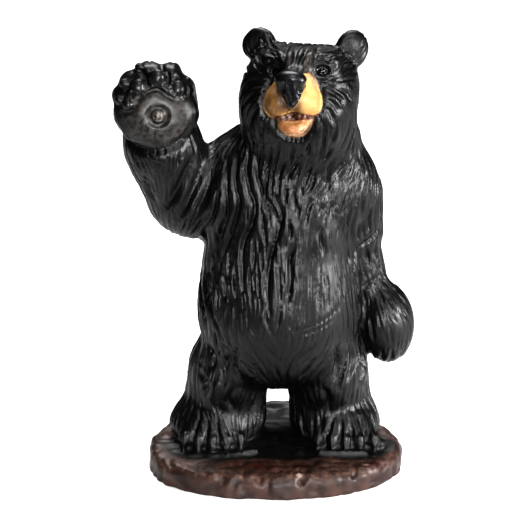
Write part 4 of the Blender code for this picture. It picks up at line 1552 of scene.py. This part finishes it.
    def run(self, obj: Thing, material: bpy.types.Material, drawn: dict[Drawn, list[Line]]) -> None:
        """Presses the lines into the object's mesh and turns the result into its plain mesh.

        Args:
            obj: The object with the bare form.
            material: The finish that the result gets.
            drawn: The lines of each kind.
        """
        helpers = {kind.value: self.lines_object(kind.name.lower(), drawn[kind]) for kind in Drawn}
        depths = {"Roundness": self.roundness, "Earth depth": self.earth_depth}
        values = {**helpers, **depths, "Material": material}
        modifier = obj.modifiers.new(self.name, "NODES")
        modifier.node_group = self.tree(values)
        for item in modifier.node_group.interface.items_tree:
            if item.in_out == "INPUT" and item.name in values:
                modifier[item.identifier] = values[item.name]
        bake_modifiers(obj)
        for helper in helpers.values():
            bpy.data.objects.remove(helper)


@dataclass(frozen=True)
class Brushwork:
    """Where the paints go: outlines and strokes on the face, round areas on the paw and the mound.

    Outlines and strokes are drawn as x and z, those of the face in the head's own frame.
    """

    muzzle: Path = (
        (-5.6, 3.4), (-6.7, 2.0), (-7.6, 0.5), (-8.5, -1.8), (-8.9, -3.9), (-8.3, -5.6), (-7.0, -7.0),
        (-5.4, -7.1), (-3.7, -6.5), (-1.2, -5.6), (0.2, -5.1), (1.7, -5.6), (4.1, -6.0), (5.4, -5.7),
        (6.4, -4.8), (6.9, -3.1), (6.6, -0.9), (5.5, 1.8), (4.3, 3.8), (2.9, 5.0), (1.6, 4.6),
        (-0.8, 4.0), (-3.2, 4.0),
    )
    # The left lobe gets darker amber: its paint, and painted shade on the side away from the light.
    left_lobe: Path = (
        (-4.8, 2.6), (-7.0, 1.2), (-8.4, -1.4), (-9.0, -4.0), (-8.2, -6.2), (-6.4, -7.4), (-3.6, -6.8),
        (-1.4, -5.6), (-1.8, -3.0), (-3.4, -0.4),
    )
    shade: Path = (
        (-4.9, 1.6), (-4.6, -0.8), (-3.9, -3.2), (-3.0, -5.4), (-1.2, -5.2), (0.2, -4.8), (1.6, -5.2),
        (2.3, -4.2), (2.2, -2.4), (0.4, -3.6), (-1.8, -2.0), (-3.2, 0.2),
    )
    nose: Path = (
        (-4.9, 3.2), (-4.6, 4.8), (-3.2, 6.2), (-0.8, 6.8), (1.6, 6.2), (3.1, 4.9), (3.6, 3.3),
        (3.1, 1.4), (2.5, -0.6), (2.0, -2.2), (0.9, -3.8), (0.2, -4.4), (-0.6, -4.1), (-1.8, -2.7),
        (-3.0, -0.9), (-4.2, 1.2),
    )
    mouth: Path = (
        (-4.4, -6.8), (-2.8, -6.2), (0.2, -5.2), (2.4, -5.7), (4.4, -5.9), (4.5, -6.8), (2.8, -7.2),
        (0.0, -7.7), (-2.4, -7.8), (-3.9, -7.5),
    )
    jaw: Path = (
        (-5.0, -6.7), (-4.5, -8.4), (-3.9, -10.1), (-2.6, -11.1), (-1.0, -11.6), (1.3, -11.4),
        (2.8, -10.4), (3.8, -8.7), (4.4, -7.1), (4.6, -5.8), (2.0, -5.7), (-2.0, -6.1),
    )
    # Painted shade along the crease at the jaw's rim.
    jaw_line: Path = ((-3.6, -10.2), (-2.4, -10.9), (-1.0, -11.1), (0.4, -10.9), (1.6, -10.9), (3.0, -9.8))
    # A paler band along the mound's front rim: wear, and a painted highlight where the rim catches the light.
    worn_edge: Path = (
        (-31.0, 4.6), (-26.0, 5.6), (-20.0, 5.2), (-12.0, 6.1), (-4.0, 5.6), (4.0, 6.2), (12.0, 5.5),
        (20.0, 6.0), (27.0, 5.2), (32.0, 5.4),
    )
    # Painted shade under the lower edges of the lobes.
    dark_lips: tuple[Path, ...] = (
        ((-7.4, -7.0), (-5.4, -7.1), (-3.4, -6.6), (-1.0, -5.8)),
        ((1.6, -5.8), (4.0, -6.1), (5.6, -5.8), (6.4, -5.0)),
    )
    # Pale rims of the lips and lobes, partly painted highlights where the edges catch the light.
    pale_lips: tuple[Path, ...] = (
        ((-7.4, 1.0), (-8.3, -1.6), (-8.6, -3.9), (-8.0, -5.4)), ((4.2, -6.2), (3.8, -8.0), (3.0, -9.6)),
        ((-2.6, -11.0), (-0.9, -11.4), (1.2, -11.2), (2.4, -10.5)), ((3.2, 4.8), (4.4, 3.4), (5.2, 1.8)),
    )
    # Strokes of grey-brown rub beside the nose's bridge, partly a painted highlight.
    brow_rub: Path = ((3.4, 10.4), (2.6, 8.6), (2.6, 6.8), (3.0, 5.2))
    small_rub: Path = ((-2.9, 10.2), (-2.8, 8.8), (-2.6, 7.6))
    thin: float = 0.12
    dark_lip: float = 0.28
    pale_lip: float = 0.42
    worn: float = 0.45
    brow_widths: tuple[float, float] = (0.75, 0.4)
    nose_back: float = -15.6
    brow_back: float = -4.0
    cut_steepness: float = 10.0
    deepest: float = 9.0

    def on_face(self, head: Head) -> dict[Mask, list[Area]]:
        """Lays out the paints of the face.

        Args:
            head: The head.

        Returns:
            The painted areas of each layer.
        """
        face = head.home
        return {
            Mask.MUZZLE: [Brushed(self.muzzle, face)],
            Mask.MUZZLE_AMBER: [Brushed(self.left_lobe, face)],
            Mask.MUZZLE_SHADE: [Brushed(self.shade, face)],
            Mask.JAW: [Brushed(self.jaw, face)],
            Mask.MOUTH: [
                Brushed(self.mouth, face),
                *(Brushed(path, face, self.dark_lip) for path in self.dark_lips),
                Brushed(self.jaw_line, face, self.thin),
            ],
            Mask.LIP_RIM: [Brushed(path, face, self.pale_lip) for path in self.pale_lips],
            Mask.TEETH: [Egg((x, -14.4, z), (0.5, 0.9, 0.75), home=face) for x, z in head.teeth],
            Mask.EYES: [Egg((x, -10.6, z), (r + 0.15, 2.0, r + 0.15), home=face) for x, z, r in head.eyes],
            Mask.BROW_RUB: [
                Brushed(path, face, width, self.brow_back)
                for path, width in zip((self.brow_rub, self.small_rub), self.brow_widths)
            ],
        }

    def elsewhere(self, head: Head, paw: RaisedPaw) -> dict[Mask, list[Area]]:
        """Lays out the paints of the palm and the mound, the bare black skin of the nose, and the painted
        shade in the palm's ring groove.

        Args:
            head: The head.
            paw: The raised paw.

        Returns:
            The painted areas of each layer.
        """
        palm = paw.home
        x, z, r = paw.palm_bead
        # The palm's ring groove is painted black as shade.
        ring = Ring((x, -7.0, z), paw.ring_axis, r + paw.ring_gap, 0.8, home=palm)
        return {
            Mask.DARK_SKIN: [Brushed(self.nose, head.home, back=self.nose_back), ring],
            # Dry-brushed grey on the palm, which is partly a painted sheen.
            Mask.PALM: [Egg((0.2, -5.5, -2.4), (9.6, 4.0, 7.2), home=palm)],
            Mask.PALM_BEAD: [Egg((x, -7.0, z), (r, 3.0, r), home=palm)],
            Mask.PADS: [Egg((a, -6.0, b), (c + 0.2, 3.0, c + 0.2), home=palm) for a, b, c in paw.pads],
            Mask.EARTH: [Slab(half_width=37.2, half_front=26.8, half_rear=31.6, dome=2.4)],
            Mask.RED_EARTH: [
                Egg((-2.0, -22.0, 7.0), (11.0, 3.0, 3.0)),
                Egg((23.0, -19.0, 6.0), (6.0, 2.5, 3.0)),
            ],
            Mask.WORN_EDGE: [Brushed(self.worn_edge, HOME, self.worn)],
            Mask.CHIPS: [Egg((24.9, -20.5, 7.0), (1.5, 1.0, 1.5)), Egg((6.6, -27.6, 6.4), (0.8, 0.8, 1.0))],
            Mask.SPILL: [
                Egg((-15.0, -7.0, 7.0), (16.5, 11.5, 4.0)),
                Egg((4.0, -8.0, 7.0), (16.0, 10.5, 4.0)),
                Egg((20.5, -6.0, 7.0), (13.0, 11.0, 4.0)),
                Egg((1.0, 14.0, 7.0), (22.0, 12.0, 4.0)),
            ],
        }

    def apply(self, mesh: Mesh, head: Head, paw: RaisedPaw) -> None:
        """Stores how deep each point lies inside each painted area, in millimetres.

        Args:
            mesh: The figurine's mesh, in millimetres.
            head: The head.
            paw: The raised paw.
        """
        points = points_of(mesh)
        areas = {**self.on_face(head), **self.elsewhere(head, paw)}
        muzzle = -areas[Mask.MUZZLE][0].distance(points)
        for mask, shapes in areas.items():
            depth = -np.min([shape.distance(points) for shape in shapes], axis=0)
            if mask in (Mask.MUZZLE_AMBER, Mask.MUZZLE_SHADE):
                depth = np.minimum(depth, self.cut_steepness * muzzle)
            store(mesh, mask, np.clip(depth, -self.deepest, self.deepest))


@dataclass
class BearFigurine:
    """The whole casting: the bear and its mound in one closed body.

    Each pass of the cast has a voxel's size and a number of steps. Nicks give x, z and a depth.
    """

    torso: Torso = field(default_factory=Torso)
    raised_arm: RaisedArm = field(default_factory=RaisedArm)
    raised_paw: RaisedPaw = field(default_factory=RaisedPaw)
    hanging_arm: HangingArm = field(default_factory=HangingArm)
    legs: Legs = field(default_factory=Legs)
    head: Head = field(default_factory=Head)
    mound: Slab = Slab()
    coat: Coat = field(default_factory=Coat)
    comb: Comb = Comb()
    brushwork: Brushwork = Brushwork()
    name: str = "bear_figurine_cast"
    triangles: int = 206000
    passes: tuple[tuple[float, int], ...] = ((1.5, 4), (0.6, 2), (0.36, 1))
    nick_size: Triple = (1.0, 2.0, 1.4)
    nicks: tuple[Triple, ...] = (
        (22.0, 5.2, 1.4), (7.0, 5.0, 1.6), (-4.0, 5.4, 1.0), (-14.0, 4.6, 0.9), (30.0, 5.0, 0.8),
    )
    bare_edge: float = 1.6
    gentle_edge: float = 4.0
    least_coat: float = 0.05

    def model(self) -> Clay:
        """Presses all the parts together and carves them.

        Returns:
            The form.
        """
        clay = Clay()
        parts = (self.torso, self.raised_arm, self.raised_paw, self.hanging_arm, self.legs, self.head)
        for part in parts:
            clay.lumps += part.lumps()
        clay.lumps.append(self.mound)
        for part in parts:
            part.carve(clay)
        return clay

    def cast(self, clay: Clay) -> Thing:
        """Joins the clay in one closed mesh and draws it onto the form's surface.

        Args:
            clay: The form.

        Returns:
            The bare casting, in millimetres.
        """
        shape = bmesh.new()
        for lump in clay.lumps + clay.beads:
            lump.add_to(shape)
        bear = add_object(self.name, mesh_of(self.name, shape))
        for voxel, rounds in self.passes:
            modified(bear, "REMESH", mode="VOXEL", voxel_size=voxel)
            set_points(bear.data, clay.settle(points_of(bear.data), rounds))
        return bear

    def bare_shapes(self) -> list[Form]:
        """Lists the places without hair.

        Returns:
            Forms round the muzzle, the jaw, the palm with its pads, and the eyes.
        """
        face = self.head.home
        return [
            Egg((-0.9, -17.5, -2.0), (8.0, 7.4, 7.9), home=face),
            Egg((-0.3, -14.0, -9.0), (5.4, 6.0, 4.5), home=face),
            Egg((-0.2, -6.5, 0.5), (11.0, 6.5, 11.2), home=self.raised_paw.home),
            *(Egg((x, -12.0, z), (r + 1.2, 3.0, r + 1.0), home=face) for x, z, r in self.head.eyes),
        ]

    def gentle_shapes(self) -> list[tuple[Form, float]]:
        """Lists the places with shallower locks.

        Returns:
            Forms, each with the share of the full depth that is left there.
        """
        face, palm = self.head.home, self.raised_paw.home
        return [
            (Egg((0, -2, 0), (17.0, 14.0, 15.0), home=face), 0.65),
            (Egg((0, -9, 9), (10.0, 6.0, 6.0), home=face), 0.35),
            (Egg((-13.1, 2.4, 13.2), (5.6, 4.0, 5.0), home=face), 0.25),
            (Egg((12.4, 2.4, 13.0), (5.6, 4.0, 6.0), home=face), 0.25),
            (Egg((0, 0, 2.0), (13.0, 8.0, 12.0), home=palm), 0.05),
            (Limb((-29, 0, 80), (-31, 0, 98), 12, 12), 0.5),
            (Limb((-17, -9, 12), (-17, -9, 9), 12, 13), 0.5),
            (Limb((20, -9, 12), (20, -9, 9), 12, 13), 0.5),
            (Egg((33, 2, 38), (9, 10, 11)), 0.3),
            (Egg((14, -12, 56), (11, 9, 22)), 0.12),
            (Egg((4, -18, 50), (9, 8, 20)), 0.35),
            (Egg((26, 0, 78), (10, 12, 16)), 0.6),
        ]

    def coat_strength(self, points: np.ndarray) -> np.ndarray:
        """Finds how deep the coat lies at each point.

        Args:
            points: Places, one a row.

        Returns:
            From zero on bare places to one in the full coat.
        """
        strength = np.clip((points[:, 2] - self.mound.height - 1.5) / 2.0, 0, 1)
        for shape, share in self.gentle_shapes():
            near = np.clip(shape.distance(points) / self.gentle_edge + 0.5, 0, 1)
            strength = np.minimum(strength, share + (1 - share) * near)
        for shape in self.bare_shapes():
            strength = np.minimum(strength, np.clip(shape.distance(points) / self.bare_edge, 0, 1))
        return strength

    def earth_lumps(self, clay: Clay, points: np.ndarray) -> np.ndarray:
        """Finds the height of the mound's lumps, and the nicks in its edge.

        Args:
            clay: The form.
            points: Places, one a row.

        Returns:
            Heights in millimetres, which run out towards the legs and above the mound.
        """
        low = np.clip((self.mound.height + 2.5 - points[:, 2]) / 1.5, 0, 1)
        for shape in self.legs.shanks():
            low = np.minimum(low, np.clip(shape.distance(points) / 2.0, 0, 1))
        lumps = 0.5 * cloud(points, 6.0, 5) + 0.8 * np.abs(cloud(points, 3.4, 6)) - 0.3
        lumps += 0.08 * cloud(points, 1.1, 7)
        for x, z, depth in self.nicks:
            middle = np.array((x, clay.front(HOME, x, z), z))
            gap = (points - middle) / np.array(self.nick_size)
            lumps -= depth * np.exp(-(gap**2).sum(axis=1))
        return low * lumps

    def comb_coat(self, bear: Thing, clay: Clay, material: bpy.types.Material) -> None:
        """Draws the coat's lines, and lets the nodes press them into the form.

        Args:
            bear: The bare casting.
            clay: The form.
            material: The finish.
        """
        points = points_of(bear.data)
        strength = self.coat_strength(points)
        store(bear.data, Mask.COAT, strength)
        store(bear.data, Mask.EARTH_LUMPS, self.earth_lumps(clay, points))
        starts = points[strength > self.least_coat]
        home = self.head.home
        locks = self.coat.draw(clay, home, starts, self.coat.locks, clay.lines)
        strands = self.coat.draw(clay, home, starts, self.coat.strands, [])
        drawn = {Drawn.TOOL_LINES: clay.lines, Drawn.LOCKS: locks, Drawn.STRANDS: strands}
        self.comb.run(bear, material, drawn)
        logging.info("%d locks and %d strands drawn", len(locks), len(strands))

    def trim(self, mesh: Mesh) -> None:
        """Cuts the underside flat at Z = 0 and closes it.

        Args:
            mesh: The casting's mesh, in millimetres.
        """
        shape = bmesh.new()
        shape.from_mesh(mesh)
        every = shape.verts[:] + shape.edges[:] + shape.faces[:]
        bmesh.ops.bisect_plane(shape, geom=every, plane_co=(0, 0, 0), plane_no=(0, 0, -1), clear_outer=True)
        rim = [edge for edge in shape.edges if edge.is_boundary]
        for edge in rim:
            for vert in edge.verts:
                vert.co.z = 0.0
        bmesh.ops.contextual_create(shape, geom=rim)
        bmesh.ops.dissolve_degenerate(shape, dist=0.005, edges=shape.edges[:])
        bmesh.ops.triangulate(shape, faces=shape.faces[:])
        bmesh.ops.recalc_face_normals(shape, faces=shape.faces[:])
        shape.to_mesh(mesh)
        shape.free()

    def build(self, material: bpy.types.Material) -> Thing:
        """Makes the finished piece in metres.

        Args:
            material: Its finish.

        Returns:
            The piece.
        """
        clay = self.model()
        bear = self.cast(clay)
        self.comb_coat(bear, clay, material)
        modified(bear, "DECIMATE", ratio=self.triangles / (2 * len(bear.data.polygons)))
        self.trim(bear.data)
        self.brushwork.apply(bear.data, self.head, self.raised_paw)
        bear.data.transform(Matrix.Scale(MM, 4))
        bear.data.shade_smooth()
        return bear


@dataclass(frozen=True)
class Softbox:
    """A square soft lamp with a honeycomb grid, which faces the figurine.

    Azimuth is in degrees to the viewer's right of straight ahead, and elevation in degrees above
    level. Distance and size are in metres, power is in watts, and spread is the angle in degrees
    between the outermost rays that pass the grid.
    """

    name: str
    azimuth: float
    elevation: float
    distance: float
    size: float
    power: float
    spread: float

    def hang(self, target: Triple) -> None:
        """Hangs the lamp.

        Args:
            target: The place that it faces.
        """
        light = bpy.data.lights.new(self.name, "AREA")
        light.spread = math.radians(self.spread)
        light.size = self.size
        light.energy = self.power
        aim(add_object(self.name, light), target, self.azimuth, self.elevation, self.distance)


def aim(obj: Thing, target: Triple, azimuth: float, elevation: float, distance: float) -> None:
    """Sets a lamp or camera at a distance from the target, and turns it there.

    Args:
        obj: The lamp or camera.
        target: The place that it faces.
        azimuth: Degrees to the viewer's right of straight ahead.
        elevation: Degrees above level.
        distance: Metres from the target.
    """
    a, e = math.radians(azimuth), math.radians(elevation)
    back = Vector((math.sin(a) * math.cos(e), -math.cos(a) * math.cos(e), math.sin(e)))
    obj.location = Vector(target) + back * distance
    obj.rotation_euler = (-back).to_track_quat("-Z", "Y").to_euler()


@dataclass
class Studio:
    """A pale table top, soft lamps and the camera at the photograph's angle."""

    elevation: float = 20.0
    distance: float = 0.8
    target: Triple = (-0.0032, 0.0, 0.0576)
    metres_per_pixel: float = 0.2755 * MM
    photo_height: int = 527
    sensor: float = 36.0
    floor_colour: str = "#f4f4f4"
    floor_radius: float = 0.6
    floor_front: float = 0.12
    room_light: float = 0.04
    lamps: tuple[Softbox, ...] = (
        Softbox("right_softbox", 64, 10, 0.8, 0.26, 1.15, 60),
        Softbox("front_softbox", 4, 11, 0.8, 0.26, 0.65, 60),
        Softbox("overhead_softbox", 10, 58, 0.8, 0.30, 0.30, 60),
        Softbox("ground_softbox", 180, 60, 1.2, 0.75, 7.0, 120),
    )

    def camera(self) -> None:
        """Places the camera straight ahead, so that the photograph's height fits its picture."""
        lens = bpy.data.cameras.new("photo_camera")
        lens.sensor_width = self.sensor
        lens.lens = self.sensor * self.distance / self.metres_per_pixel / self.photo_height
        bpy.context.scene.camera = add_object("photo_camera", lens)
        aim(bpy.context.scene.camera, self.target, 0, self.elevation, self.distance)

    def floor(self) -> Thing:
        """Makes the pale round table top that the figurine stands on.

        Returns:
            The table top.
        """
        shape = bmesh.new()
        bmesh.ops.create_circle(shape, cap_ends=True, segments=96, radius=self.floor_radius)
        floor = add_object("pale_table_top", mesh_of("pale_table_top", shape))
        floor.location.y = self.floor_radius - self.floor_front
        floor.data.materials.append(self.paper())
        return floor

    def paper(self) -> bpy.types.Material:
        """Makes matt white background paper, which gives a plain, even ground.

        Returns:
            The material.
        """
        material = bpy.data.materials.new("matt_background_paper")
        material.use_nodes = True
        surface = material.node_tree.nodes["Principled BSDF"]
        surface.inputs["Base Color"].default_value = linear(self.floor_colour)
        surface.inputs["Roughness"].default_value = 0.9
        surface.inputs["Specular IOR Level"].default_value = 0.1
        return material

    def light(self) -> None:
        """Hangs the lamps and sets the pale surroundings."""
        for lamp in self.lamps:
            lamp.hang(self.target)
        scene = bpy.context.scene
        scene.world = bpy.data.worlds.new("pale_room")
        scene.world.use_nodes = True
        background = scene.world.node_tree.nodes["Background"]
        background.inputs["Color"].default_value = linear("#ffffff")
        background.inputs["Strength"].default_value = self.room_light
        scene.view_settings.view_transform = "Standard"
        scene.view_settings.look = "High Contrast"


def main() -> None:
    """Builds the figurine and the studio in order, and reports each piece."""
    logging.basicConfig(level=logging.INFO, format="%(message)s")
    studio = Studio()
    studio.camera()
    studio.floor()
    studio.light()
    bear = BearFigurine().build(PaintedResin().build())
    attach(bear, "root")
    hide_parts("bear_figurine")
    logging.info("%s: %d triangles", bear.name, len(bear.data.polygons))


if __name__ == "__main__":
    main()
